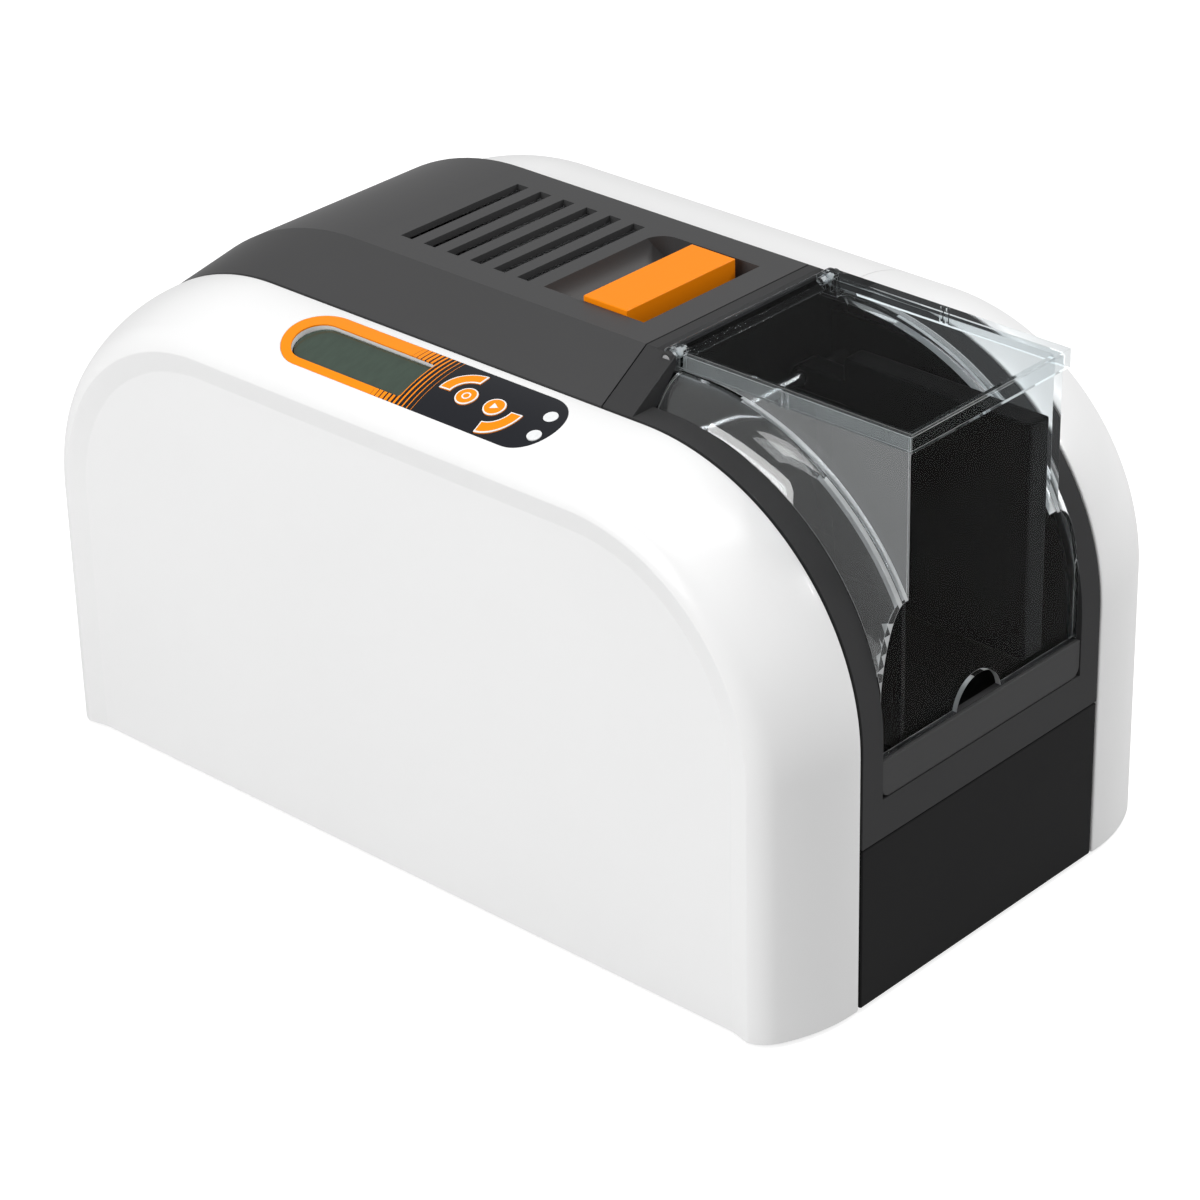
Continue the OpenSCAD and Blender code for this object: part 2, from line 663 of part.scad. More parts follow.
module hopper_lid() up() color("#c9d3d8", 0.35) difference() {
    union() {
        slab(-lid_y, lid_y) translate([lid_hx, lid_hz]) circle(lid_roll);
        block([lid_hx, -lid_y, lid_top - lid_t], [half_l, lid_y, lid_top]);
        both_sides() block([lid_hx, lid_y - rim_t, lid_top - lid_rim], [half_l, lid_y, lid_top]);
        block([half_l - rim_t, -lid_y, lid_top - lid_rim], [half_l, lid_y, lid_top]);
        // grip ribs on the rim
        both_sides() for (dx = [0, 2.4])
            block([rib_x + dx, lid_y - 0.5, lid_top - lid_rim], [rib_x + dx + 1.2, lid_y + 0.7, lid_top - 1]);
    }
    // pockets for the ears of the clear cover
    both_sides() block([lid_hx - lid_roll - 1, box_w / 2 - clear_wall - gap, lid_top - lid_rim - 1],
        [shoulder_x0 + gap, lid_y - rim_t, lid_hz + ear_pin_r + 0.4]);
    both_sides() slab(box_w / 2 - 5, lid_y + 2) translate([lid_hx, lid_hz]) circle(pin_r + fit);
}
module lid_hinge_pins() up() color("#b9bcc0") both_sides()
    slab(box_w / 2 - 4.5, frame_ear_y[1]) translate([lid_hx, lid_hz]) circle(pin_r);

// hopper tub
liner_t = 2;
liner_x = [frame_x + wall + 0.2, half_l - bar_t - 0.5];
liner_y = strip_y - 1;
liner_r = shoulder_r - clear_wall - 2;
guide_y = card_y - 1;
guide_top = card_z + card_h - 2;
rod_x = frame_x + wall + 6;
rod_z = [card_z + 12, card_z + 76];
pick_window = [pick_x - roller_r - 1.5, pick_x + roller_r + 1.5];
module liner_side(y0, y1) slab(y0, y1) intersection() {
    union() {
        translate([shoulder_cx, shoulder_cz]) circle(liner_r);
        translate([0, 0]) square([shoulder_cx, shoulder_cz + liner_r]);
        translate([0, 0]) square([shoulder_cx + liner_r, shoulder_cz]);
    }
    translate([liner_x[0], deck_z]) square([liner_x[1] - liner_x[0], far]);
}
module hopper_liner() up() color("#1b1b1c") difference() {
    union() {
        block([liner_x[0], -liner_y, deck_z], [liner_x[1], liner_y, deck_z + liner_t]);
        both_sides() liner_side(liner_y - liner_t, liner_y);
        // guide that the cards slide along
        block([liner_x[0], guide_y - liner_t, deck_z], [liner_x[1], guide_y, guide_top]);
        block([liner_x[0], guide_y - liner_t, guide_top - 1], [pick_window[0] - 1, guide_y, rod_z[1] + 8]);
        // catches of the clear cover
        both_sides() block([shoulder_cx + 66, liner_y - 7, shoulder_cz + 38], [shoulder_cx + 74, liner_y, shoulder_cz + 44]);
    }
    block([pick_window[0], guide_y - liner_t - 1, card_z], [pick_window[1], guide_y + 1, card_z + card_h + 1]);
    translate([pick_x, -roller_y, 0]) cylinder(r = spindle_r + 1.5, h = far);
    translate([pick_x, -roller_y, card_z - 2]) cylinder(r = roller_r + 1, h = card_h + 4);
    for (z = rod_z) slab(-far, far) translate([rod_x, z]) circle(rod_r);
}
module pusher_rods() up() color("#b9bcc0")
    for (z = rod_z) slab(guide_y - liner_t, liner_y) translate([rod_x, z]) circle(rod_r);
pusher_x = [frame_x + 27.5, clear_front - clear_wall - 0.7];
pusher_y1 = box_w / 2 - clear_wall - 0.6;
pusher_z = [card_z, box_top - 22];
module card_pusher() up() color("#161617") difference() {
    union() {
        block([pusher_x[0], pusher_y1 - pusher_t, pusher_z[0]], [pusher_x[1], pusher_y1, pusher_z[1]]);
        for (z = rod_z) {
            block([rod_x, pusher_y1 - pusher_t, z - rod_r - 2.2], [pusher_x[0] + 1, pusher_y1, z + rod_r + 2.2]);
            slab(pusher_y1 - pusher_t, pusher_y1) translate([rod_x, z]) circle(rod_r + 2.2);
        }
    }
    for (z = rod_z) slab(-far, far) translate([rod_x, z]) circle(rod_r + fit);
}

// card track
belt_z = [deck_low - 4.5, deck_low - 4.5 + belt_w];
pulley_z = [belt_z[0] - 0.2, deck_low - gap];
gear_z = [pulley_z[0] - 0.8 - gear_t, pulley_z[0] - 0.8];
bracket_z = [gear_z[0] - 4.5, gear_z[0] - 2.5];
bridge_z = [158, 160];
roller_z = [card_z + 3, card_z + card_h - 1];
platen_x = 0;
motor_y = -roller_y + gear_m * (platen_teeth + pinion_teeth) / 2;
takeup_at = [spool_x, spool_y];
ribbon_motor_at = takeup_at + [gear_m * (takeup_teeth + pinion_teeth) / 2, 0];
pinch_y = card_y + 0.6 + roller_r;
pinch_pin_r = 2;
motor_shaft_r = 2;
motor_boss_r = 11;
inner_y = plate_y - plate_t;

module bearing_holes() {
    for (x = [platen_x, entry_x, exit_x, pick_x]) translate([x, -roller_y]) circle(spindle_r + fit);
    for (s = [-1, 1]) translate([s * spool_x, spool_y]) circle(spindle_r + fit);
}
module deck_plate() up() color("#77797c") plan(deck_low, deck_z) difference() {
    translate([-half_l + 8, -inner_y]) square([body_l - 13, 2 * inner_y]);
    bearing_holes();
    for (x = [entry_x, exit_x]) translate([x, pinch_y]) circle(pinch_pin_r);
}
module motor_bracket() up() color("#8d9093") plan(bracket_z[0], bracket_z[1]) difference() {
    translate([-26, -inner_y]) square([104, 2 * inner_y]);
    translate([platen_x, motor_y]) circle(motor_boss_r);
    translate(ribbon_motor_at) circle(motor_boss_r);
}
module roller_bridge() up() color("#8d9093") {
    plan(bridge_z[0], bridge_z[1]) difference() {
        translate([exit_x - 16, -inner_y]) square([entry_x - exit_x + 30, inner_y + pinch_y + 6]);
        for (x = [platen_x, entry_x, exit_x]) translate([x, -roller_y]) circle(spindle_r + fit);
        // clear of the ribbon posts and the print head
        translate([-26, card_y - 3]) square([52, far]);
    }
    // pins of the pinch rollers, riveted into the bridge
    for (x = [entry_x, exit_x]) translate([x, pinch_y, deck_low])
        cylinder(r = pinch_pin_r, h = bridge_z[1] - deck_low);
}
rail_w = 4;
module card_rail() up() color("#232324") for (s = [[exit_slot_x, -24], [24, frame_x]])
    difference() {
        block([s[0], card_y - rail_w / 2, deck_z], [s[1], card_y + rail_w / 2, card_z + 1.5]);
        block([s[0] - 1, card_y - 0.5, card_z - 0.5], [s[1] + 1, card_y + 0.5, far]);
        for (x = [entry_x, exit_x]) for (y = [-roller_y, pinch_y])
            translate([x, y, 0]) cylinder(r = roller_r + 0.5, h = far);
    }
exit_slot_x = -half_l + 8;

module roller_tube(x, y, bore) up() color("#2c2f31") translate([x, y, roller_z[0]]) difference() {
    cylinder(r = roller_r, h = roller_z[1] - roller_z[0]);
    translate([0, 0, -1]) cylinder(r = bore, h = far);
}
module platen_roller() roller_tube(platen_x, -roller_y, spindle_r);
module entry_roller() roller_tube(entry_x, -roller_y, spindle_r);
module exit_roller() roller_tube(exit_x, -roller_y, spindle_r);
module pick_roller() roller_tube(pick_x, -roller_y, spindle_r);
module pinch_rollers_entry() roller_tube(entry_x, pinch_y, pinch_pin_r + fit);
module pinch_rollers_exit() roller_tube(exit_x, pinch_y, pinch_pin_r + fit);

// teeth with backlash; the first tooth points along +X
module gear_shape(teeth, phase) {
    pitch_r = gear_m * teeth / 2;
    step = 360 / teeth;
    root_r = pitch_r - 1.25 * gear_m;
    tip_r = pitch_r + 0.9 * gear_m;
    circle(root_r);
    for (i = [0:teeth - 1]) rotate(phase + i * step) polygon([
        for (q = [[root_r - 0.3, 0.30], [pitch_r, 0.22], [tip_r, 0.12]])
            [q[0] * cos(step * q[1]), q[0] * sin(step * q[1])],
        for (q = [[tip_r, 0.12], [pitch_r, 0.22], [root_r - 0.3, 0.30]])
            [q[0] * cos(step * q[1]), -q[0] * sin(step * q[1])]]);
}
// a steel spindle with its belt pulley and a collar on the bridge
module spindle(x, top, low) up() color("#b9bcc0") translate([x, -roller_y, 0]) {
    translate([0, 0, low]) cylinder(r = spindle_r, h = top - low);
    translate([0, 0, pulley_z[0]]) cylinder(r = pulley_r, h = pulley_z[1] - pulley_z[0]);
}
spindle_top = bridge_z[1] + 2;
module platen_spindle() {
    spindle(platen_x, spindle_top, gear_z[0]);
    up() color("#d8d3c4") translate([platen_x, -roller_y, gear_z[0]])
        linear_extrude(gear_t) gear_shape(platen_teeth, 90);
}
module entry_spindle() spindle(entry_x, spindle_top, pulley_z[0]);
module exit_spindle() spindle(exit_x, spindle_top, pulley_z[0]);
module pick_spindle() spindle(pick_x, roller_z[1], pulley_z[0]);
module belt_loop(r) {
    for (x = [exit_x, pick_x]) translate([x, -roller_y]) circle(r);
    translate([exit_x, -roller_y - r]) square([pick_x - exit_x, 2 * r]);
}
module drive_belt() up() color("#1d1d1e") plan(belt_z[0], belt_z[1]) difference() {
    belt_loop(pulley_r + gap + belt_t);
    belt_loop(pulley_r + gap);
}
motor_h = 36;
module motor(at, size) up() color("#3a3c3f") translate([at[0], at[1], bracket_z[0]]) difference() {
    union() {
        translate([-size / 2, -size / 2, -motor_h]) cube([size, size, motor_h]);
        cylinder(r = motor_boss_r, h = bracket_z[1] - bracket_z[0]);
    }
    translate([0, 0, -motor_h + 4]) cylinder(r = motor_shaft_r + fit, h = far);
}
feed_motor_size = 34;
ribbon_motor_size = 26;
module feed_motor() motor([platen_x, motor_y], feed_motor_size);
module ribbon_motor() motor(ribbon_motor_at, ribbon_motor_size);
module pinion(at, phase) up() color("#c9a24a") translate([at[0], at[1], 0]) {
    translate([0, 0, bracket_z[0] - motor_h + 5])
        cylinder(r = motor_shaft_r, h = gear_z[1] - bracket_z[0] + motor_h - 5);
    translate([0, 0, gear_z[0]]) linear_extrude(gear_t) gear_shape(pinion_teeth, phase);
}
// a gap of the pinion faces the tooth of the wheel it drives
module feed_pinion() pinion([platen_x, motor_y], -90 + 180 / pinion_teeth);
module ribbon_pinion() pinion(ribbon_motor_at, 180 + 180 / pinion_teeth);

// ribbon
ribbon_z = [roller_z[0] - 1, roller_z[1] + 1];
cassette_z = [card_z - 3, ribbon_z[1] + 5];
cassette_t = 2;
post_at = [14, card_y + 3.6];
post_r = 2;
film_t = 0.15;
module spool(x, roll, low, teeth) up() color("#54565a") translate([x, spool_y, 0]) {
    translate([0, 0, low]) cylinder(r = spindle_r, h = cassette_z[1] + 2 - low);
    translate([0, 0, ribbon_z[0]]) cylinder(r = roll, h = ribbon_z[1] - ribbon_z[0]);
    if (teeth > 0) translate([0, 0, gear_z[0]]) linear_extrude(gear_t) gear_shape(teeth, 0);
    else translate([0, 0, deck_z + gap]) cylinder(r = spindle_r + 2, h = 2);
}
module takeup_spool() spool(spool_x, takeup_r, gear_z[0], takeup_teeth);
module supply_spool() spool(-spool_x, supply_r, deck_low, 0);
module arm(a, b, w) translate(a) rotate(atan2(b[1] - a[1], b[0] - a[0]))
    translate([0, -w / 2]) square([norm(b - a), w]);
module cassette_side() difference() {
    union() {
        for (s = [-1, 1]) {
            translate([s * spool_x, spool_y]) circle(supply_r + 2);
            arm([s * spool_x, spool_y], [s * post_at[0], post_at[1]], 6);
            translate([s * post_at[0], post_at[1]]) circle(3.5);
        }
        translate([-spool_x, spool_y + supply_r - 4]) square([2 * spool_x, 6]);
    }
    for (s = [-1, 1]) translate([s * spool_x, spool_y]) circle(spindle_r + gap);
}
module ribbon_cassette() up() color("#1f2022") {
    plan(cassette_z[0], cassette_z[0] + cassette_t) cassette_side();
    plan(cassette_z[1] - cassette_t, cassette_z[1]) cassette_side();
    for (s = [-1, 1]) {
        translate([s * post_at[0], post_at[1], cassette_z[0]])
            cylinder(r = post_r, h = cassette_z[1] - cassette_z[0]);
        translate([s * spool_x - 12, spool_y + supply_r + 0.4, cassette_z[0]])
            cube([24, 1.5, cassette_z[1] - cassette_z[0]]);
    }
    // feet on the deck
    for (s = [-1, 1]) translate([s * spool_x - 8, spool_y + supply_r - 3.5, deck_z])
        cube([16, 5, cassette_z[0] - deck_z]);
}
// film between two rolls: tangent on the outside
module film_run(c1, r1, c2, r2, side) {
    d = c2 - c1;
    turn = atan2(d[1], d[0]) + side * acos((r1 - r2) / norm(d));
    n = [cos(turn), sin(turn)];
    polygon([c1 + r1 * n, c2 + r2 * n, c2 + (r2 + film_t) * n, c1 + (r1 + film_t) * n]);
}
module ribbon_film() up() color("#3b2a3f") plan(ribbon_z[0], ribbon_z[1]) {
    pr = post_r + 0.1;
    film_run([-spool_x, spool_y], supply_r + 0.1, [-post_at[0], post_at[1]], pr, -1);
    film_run([spool_x, spool_y], takeup_r + 0.1, post_at, pr, 1);
    translate([-post_at[0], post_at[1] - pr - film_t]) square([2 * post_at[0], film_t]);
}
head_y = post_at[1] - post_r - 0.1 + 0.3;
head_z = [roller_z[0], roller_z[1]];
guide_r = 2;
guide_z = [roller_z[0] + 12, roller_z[1] - 12];
fin_y = head_y + 24;
head_rear = max(spool_y + supply_r + 7, fin_y + head_travel + 1);
module print_head() up() color("#b7babd") difference() {
    union() {
        block([-3, head_y, head_z[0]], [3, head_y + 8, head_z[1]]);
        block([-head_w / 2, head_y + 5, head_z[0] - 1], [head_w / 2, head_y + 17, head_z[1] + 1]);
        for (i = [0:4]) block([-head_w / 2 + 1 + i * 5, head_y + 16, head_z[0]],
                              [-head_w / 2 + 3 + i * 5, fin_y, head_z[1]]);
    }
    for (z = guide_z) slab(-far, far) translate([0, z]) circle(guide_r + fit);
}
module head_bracket() up() color("#8d9093") {
    block([-15, head_rear, deck_z], [15, head_rear + 2.5, head_z[1] + 4]);
    block([-15, head_rear, deck_z], [15, head_rear + 14, deck_z + 2.5]);
    for (z = guide_z) slab(head_y + 7, head_rear + 1) translate([0, z]) circle(guide_r);
}

// control panel
module panel_overlay() color("#1e2024") difference() {
    intersection() {
        on_panel() translate([0, 0, -10]) linear_extrude(20) stadium(panel_x0, panel_x1, panel_r);
        difference() { shell_bar(0, far); shell_bar(overlay_t, far + 2); }
    }
    on_panel() translate([0, 0, -10]) linear_extrude(20) { lcd_shape(0.6); panel_holes(gap); }
}
// flanges of the keys stay under the shell, which curves away to both sides
key_clear = 0.25;
key_rim = 1;
key_flange = [-wall - sag(panel_r) - key_clear - key_rim, -wall - sag(panel_r) - key_clear];
key_proud = 0.35;
board_w = [key_flange[0] - 3.4, key_flange[0] - 1.9];
module key() color("#fc8c04") {
    intersection() {
        on_panel() translate([0, 0, key_flange[0]]) linear_extrude(2 - key_flange[0]) children(0);
        shell_bar(-key_proud, far);
    }
    on_panel() translate([0, 0, key_flange[0]]) linear_extrude(key_rim) children(1);
}
module key_arc_left() key() { arc_key_shape(0, 0); arc_key_shape(0, 0.8); }
module key_arc_right() key() { arc_key_shape(1, 0); arc_key_shape(1, 0.8); }
module key_round_left() key() { round_key_shape(0, 0); round_key_shape(0, 0.5); }
module key_round_right() key() { round_key_shape(1, 0); round_key_shape(1, 0.5); }
module status_lights() on_panel() color("#e8e9ea") for (p = led_at)
    translate([p[0], p[1], board_w[1]]) cylinder(r = led_r, h = -board_w[1] - sag(p[1]) + 0.1);
module lcd_module() on_panel() color("#3c4a40")
    translate([0, 0, board_w[1]]) linear_extrude(-board_w[1] - lcd_depth) lcd_shape(0);
module control_board() on_panel() color("#1f5a38") {
    translate([panel_x0 + 4, -12.5, board_w[0]])
        cube([panel_x1 - panel_x0 - 8, 24, board_w[1] - board_w[0]]);
    // a switch under each key
    for (k = [0, 1]) {
        for (p = [[0, 0], arc_key_r * [cos(arc_turn[k]), sin(arc_turn[k])]])
            translate([key_u[k] + p[0] - 1.5, key_v + p[1] - 1.5, board_w[1]])
                cube([3, 3, key_flange[0] - board_w[1] - key_travel - 0.1]);
    }
    // spacers up to the shell
    for (p = board_spacers) translate([p[0], p[1], board_w[1]]) cylinder(r = 2, h = -board_w[1] - wall - sag(p[1]) - spacer_gap);
}
spacer_gap = 0.45;
board_spacers = [[8, 9.5], [8, -10.5], [50, 9.5]];

module main_board() up() color("#1f5a38") {
    block([board_x[0], board_y[0], board_z], [board_x[1], board_y[1], board_z + 1.6]);
    for (i = [0:3]) translate([board_x[0] + 22 + i * 24, board_y[0] + 12, board_z + 1.6])
        color("#1a1a1a") cube([14, 14, 2]);
}
fan_x = -half_l + wall + 0.3;
fan_depth = 15;
fan_bore = fan_size / 2 - 1.5;
module at_fan() up() translate([fan_x, fan_y, fan_z]) rotate([90, 0, 90]) children();
module fan_frame() at_fan() color("#202022") {
    difference() {
        translate([-fan_size / 2, -fan_size / 2, 0]) cube([fan_size, fan_size, fan_depth]);
        translate([0, 0, -1]) cylinder(r = fan_bore, h = far);
    }
    cylinder(r = guide_r, h = fan_depth - 2);
    translate([0, 0, 0]) cylinder(r = 9, h = 1.5);
    for (a = [45, 135]) rotate(a) translate([-fan_bore - 1, -1.2, 0]) cube([2 * fan_bore + 2, 2.4, 1.5]);
    // foot down to the base tray
    translate([-fan_size / 2, -fan_z + tray_t, 0]) cube([fan_size, fan_z - tray_t - fan_size / 2, 4]);
}
module fan_rotor() at_fan() color("#101011") difference() {
    union() {
        translate([0, 0, 2]) cylinder(r = 8.5, h = fan_depth - 3);
        for (i = [0:6]) rotate(i * 360 / 7) translate([7, 0, fan_depth / 2])
            rotate([40, 0, 0]) translate([0, -6, -0.6]) cube([fan_bore - 8.5, 12, 1.2]);
    }
    translate([0, 0, 1]) cylinder(r = guide_r + fit, h = fan_depth - 2);
}
socket_depth = 14;
module socket(y, z, s, core) difference() {
    block([-half_l, y - s[0] / 2, z - s[1] / 2], [-half_l + socket_depth, y + s[0] / 2, z + s[1] / 2]);
    block([-half_l - 1, y - core[0] / 2, z - core[1] / 2],
          [-half_l + socket_depth - 2, y + core[0] / 2, z + core[1] / 2]);
}
module rear_sockets() up() color("#18181a") {
    socket(inlet_y, socket_z, inlet_size, [9, 7]);
    translate([-half_l + 2, inlet_y, socket_z]) rotate([0, 90, 0]) cylinder(r = 1, h = socket_depth - 3);
    socket(usb_y, socket_z, usb_size, [8.4, 7.8]);
    // housing of the power switch
    socket(switch_y, switch_z, switch_size, [switch_size[0] - 3, switch_size[1] - 3]);
    slab(switch_y - switch_size[0] / 2 + 0.5, switch_y + switch_size[0] / 2 - 0.5)
        translate([rocker_x, switch_z]) circle(rocker_pin_r);
    // carrier down to the base tray
    block([-half_l + wall + 1, inlet_y - 8, tray_t], [-half_l + socket_depth, usb_y + 8, socket_z - 6]);
}
rocker_x = -half_l + 6.2;
rocker_r = 6;
rocker_tilt = 8;
rocker_pin_r = 1;
module power_switch() up() color("#0f0f10") translate([rocker_x, switch_y, switch_z])
    rotate([90, 0, 0]) linear_extrude(switch_size[0] - 3 - 2 * gap, center = true)
        difference() {
            intersection() {
                circle(r = rocker_r);
                rotate(rocker_tilt) translate([-rocker_r + 1.2, -rocker_r]) square([rocker_r + 1, 2 * rocker_r]);
            }
            circle(r = rocker_pin_r + fit);
        }
module screws() up() color("#a5a8ab") for (p = rear_screws) translate([-half_l, p[0], p[1]])
    rotate([0, 90, 0]) difference() {
        union() {
            cylinder(r = screw_head_r, h = screw_head_t);
            translate([0, 0, 1]) cylinder(r = screw_r, h = screw_l - 1);
        }
        translate([-2.2, -0.4, -1]) cube([4.4, 0.8, 1.8]);
        translate([-0.4, -2.2, -1]) cube([0.8, 4.4, 1.8]);
    }

base_tray();
feet();
near_shell();
far_shell();
far_shell_front();
rear_panel();
front_panel();
side_plate_near();
side_plate_far();
top_cover();
cover_hinge_pins();
latch_button();
latch_keeper();
hopper_frame();
lip_plate();
hopper_liner();
hopper_cover();
hopper_lid();
lid_hinge_pins();
card_pusher();
pusher_rods();
deck_plate();
motor_bracket();
roller_bridge();
card_rail();
platen_roller();
platen_spindle();
entry_roller();
entry_spindle();
exit_roller();
exit_spindle();
pick_roller();
pick_spindle();
pinch_rollers_entry();
pinch_rollers_exit();
drive_belt();
feed_motor();
feed_pinion();
ribbon_motor();
ribbon_pinion();
takeup_spool();
supply_spool();
ribbon_cassette();
ribbon_film();
print_head();
head_bracket();
panel_overlay();
key_arc_left();
key_round_left();
key_round_right();
key_arc_right();
status_lights();
lcd_module();
control_board();
main_board();
fan_frame();
fan_rotor();
rear_sockets();
power_switch();
screws();
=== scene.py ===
"""Looks of a desktop card printer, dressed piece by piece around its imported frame."""
import json
import math

import bmesh
import bpy
from mathutils import Matrix, Quaternion, Vector

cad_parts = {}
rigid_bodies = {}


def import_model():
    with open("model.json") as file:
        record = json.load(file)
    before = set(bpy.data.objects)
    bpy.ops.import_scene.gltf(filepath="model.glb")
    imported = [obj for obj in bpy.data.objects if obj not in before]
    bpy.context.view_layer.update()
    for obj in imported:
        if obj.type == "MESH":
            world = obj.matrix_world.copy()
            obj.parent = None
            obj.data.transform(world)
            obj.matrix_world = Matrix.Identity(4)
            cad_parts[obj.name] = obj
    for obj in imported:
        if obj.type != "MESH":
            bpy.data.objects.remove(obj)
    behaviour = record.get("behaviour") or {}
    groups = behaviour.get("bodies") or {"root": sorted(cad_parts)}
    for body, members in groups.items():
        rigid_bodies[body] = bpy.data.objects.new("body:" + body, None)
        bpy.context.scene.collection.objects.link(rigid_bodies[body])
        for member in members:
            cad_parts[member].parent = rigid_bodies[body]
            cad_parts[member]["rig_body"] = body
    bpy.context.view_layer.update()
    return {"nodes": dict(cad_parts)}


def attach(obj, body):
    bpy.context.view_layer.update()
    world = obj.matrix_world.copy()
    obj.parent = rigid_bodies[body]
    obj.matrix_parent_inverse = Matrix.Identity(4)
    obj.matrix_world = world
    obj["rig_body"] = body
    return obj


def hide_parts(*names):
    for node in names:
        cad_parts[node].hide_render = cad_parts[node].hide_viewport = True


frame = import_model()
mm = 0.001

# Camera. A long lens, a little above the printer and off its hopper corner, rolled by a degree.
# The photograph's frame is square, with its centre on the optical axis.
azimuth = math.radians(43.0)
elevation = math.radians(28.6)
camera_roll = math.radians(-1.4)
camera_distance = 1.490
aim = Vector((0.00485, 0.0, 0.070))
back = Vector((math.sin(azimuth) * math.cos(elevation), -math.cos(azimuth) * math.cos(elevation),
               math.sin(elevation))).normalized()
level = Vector((math.cos(azimuth), math.sin(azimuth), 0.0))
upward = back.cross(level)
right = level * math.cos(camera_roll) + upward * math.sin(camera_roll)
camera_data = bpy.data.cameras.new("camera")
camera_data.sensor_width = 36.0
camera_data.lens = 123.0
camera = bpy.data.objects.new("camera", camera_data)
turned = Matrix((right, back.cross(right), back)).transposed().to_4x4()
camera.matrix_world = Matrix.Translation(aim + back * camera_distance) @ turned
bpy.context.scene.collection.objects.link(camera)
bpy.context.scene.camera = camera
bpy.context.scene.view_settings.view_transform = "Standard"

# Studio. A pale floor that keeps the shadow, and a white world behind it. Both look white to the
# camera, the floor also through the clear cover, and are darker in reflections and as lamps.
floor_reach = 6.0
floor_shade = 0.50
floor_plain_glow = 0.77
floor_mirror_glow = 0.3
world_strength = 0.46


def new_material(name):
    material = bpy.data.materials.new(name)
    material.use_nodes = True
    nodes = material.node_tree.nodes
    nodes.clear()
    output = nodes.new("ShaderNodeOutputMaterial")
    return material, nodes, material.node_tree.links, output


def math_node(nodes, links, operation, *values):
    """A sum whose values are numbers or other nodes' outputs."""
    node = nodes.new("ShaderNodeMath")
    node.operation = operation
    for socket, value in zip(node.inputs, values):
        if isinstance(value, (int, float)):
            socket.default_value = value
        else:
            links.new(value, socket)
    return node.outputs[0]


def mesh_piece(name, points, faces, material):
    mesh = bpy.data.meshes.new(name)
    mesh.from_pydata([tuple(p) for p in points], [], faces)
    mesh.materials.append(material)
    piece = bpy.data.objects.new(name, mesh)
    bpy.context.scene.collection.objects.link(piece)
    return piece


floor_material, nodes, links, output = new_material("pale_floor")
floor_paint = nodes.new("ShaderNodeBsdfDiffuse")
floor_paint.inputs["Color"].default_value = (floor_shade, floor_shade, floor_shade, 1.0)
floor_glow = nodes.new("ShaderNodeEmission")
floor_glow.inputs["Color"].default_value = (1.0, 1.0, 1.0, 1.0)
floor_rays = nodes.new("ShaderNodeLightPath").outputs
floor_mix = nodes.new("ShaderNodeAddShader")
seen_plain = math_node(nodes, links, "MAXIMUM", floor_rays["Is Camera Ray"],
                       floor_rays["Is Transmission Ray"])
plain_level = math_node(nodes, links, "MULTIPLY", seen_plain, floor_plain_glow)
floor_level = math_node(nodes, links, "MULTIPLY_ADD", floor_rays["Is Glossy Ray"],
                        floor_mirror_glow, plain_level)
links.new(floor_level, floor_glow.inputs["Strength"])
links.new(floor_paint.outputs[0], floor_mix.inputs[0])
links.new(floor_glow.outputs[0], floor_mix.inputs[1])
links.new(floor_mix.outputs[0], output.inputs["Surface"])
floor = mesh_piece("floor", [(-floor_reach, -floor_reach, 0), (floor_reach, -floor_reach, 0),
                             (floor_reach, floor_reach, 0), (-floor_reach, floor_reach, 0)],
                   [(0, 1, 2, 3)], floor_material)

world = bpy.data.worlds.new("studio")
bpy.context.scene.world = world
world.use_nodes = True
nodes = world.node_tree.nodes
links = world.node_tree.links
nodes.clear()
world_output = nodes.new("ShaderNodeOutputWorld")
world_light = nodes.new("ShaderNodeBackground")
world_light.inputs["Color"].default_value = (1.0, 1.0, 1.0, 1.0)
world_light.inputs["Strength"].default_value = world_strength
world_white = nodes.new("ShaderNodeBackground")
world_white.inputs["Color"].default_value = (1.0, 1.0, 1.0, 1.0)
world_white.inputs["Strength"].default_value = 1.0
world_rays = nodes.new("ShaderNodeLightPath")
world_mix = nodes.new("ShaderNodeMixShader")
links.new(world_rays.outputs["Is Camera Ray"], world_mix.inputs[0])
links.new(world_light.outputs[0], world_mix.inputs[1])
links.new(world_white.outputs[0], world_mix.inputs[2])
links.new(world_mix.outputs[0], world_output.inputs["Surface"])


def soft_box(name, place, target, width, height, power, turn=0.0):
    """An area lamp at place that faces target, turned about its own axis by turn degrees."""
    lamp_data = bpy.data.lights.new(name, "AREA")
    lamp_data.shape = "RECTANGLE"
    lamp_data.size = width
    lamp_data.size_y = height
    lamp_data.energy = power
    lamp = bpy.data.objects.new(name, lamp_data)
    lamp.location = place
    facing = (Vector(target) - Vector(place)).to_track_quat("-Z", "Y")
    lamp.rotation_euler = (facing @ Quaternion((0.0, 0.0, 1.0), math.radians(turn))).to_euler()
    bpy.context.scene.collection.objects.link(lamp)


# Lamps. A wide key light high on the panel side, a long strip over the hopper, a weak fill from the
# hopper end, and a narrow strip on the far side that draws the bright lines in the clear cover.
soft_box("key_light", (-0.4, -2.1, 1.15), (0.0, 0.0, 0.1), 1.2, 0.9, 28.0)
soft_box("strip_light", (0.35, -0.1, 1.5), (0.1, 0.0, 0.15), 1.6, 0.35, 8.0)
soft_box("fill_light", (1.9, -0.5, 0.8), (0.1, 0.0, 0.1), 0.8, 1.2, 0.5)
soft_box("streak_light", (0.675, 0.97, 1.03), (0.15, -0.05, 0.16), 1.0, 0.03, 7.0, turn=40.0)

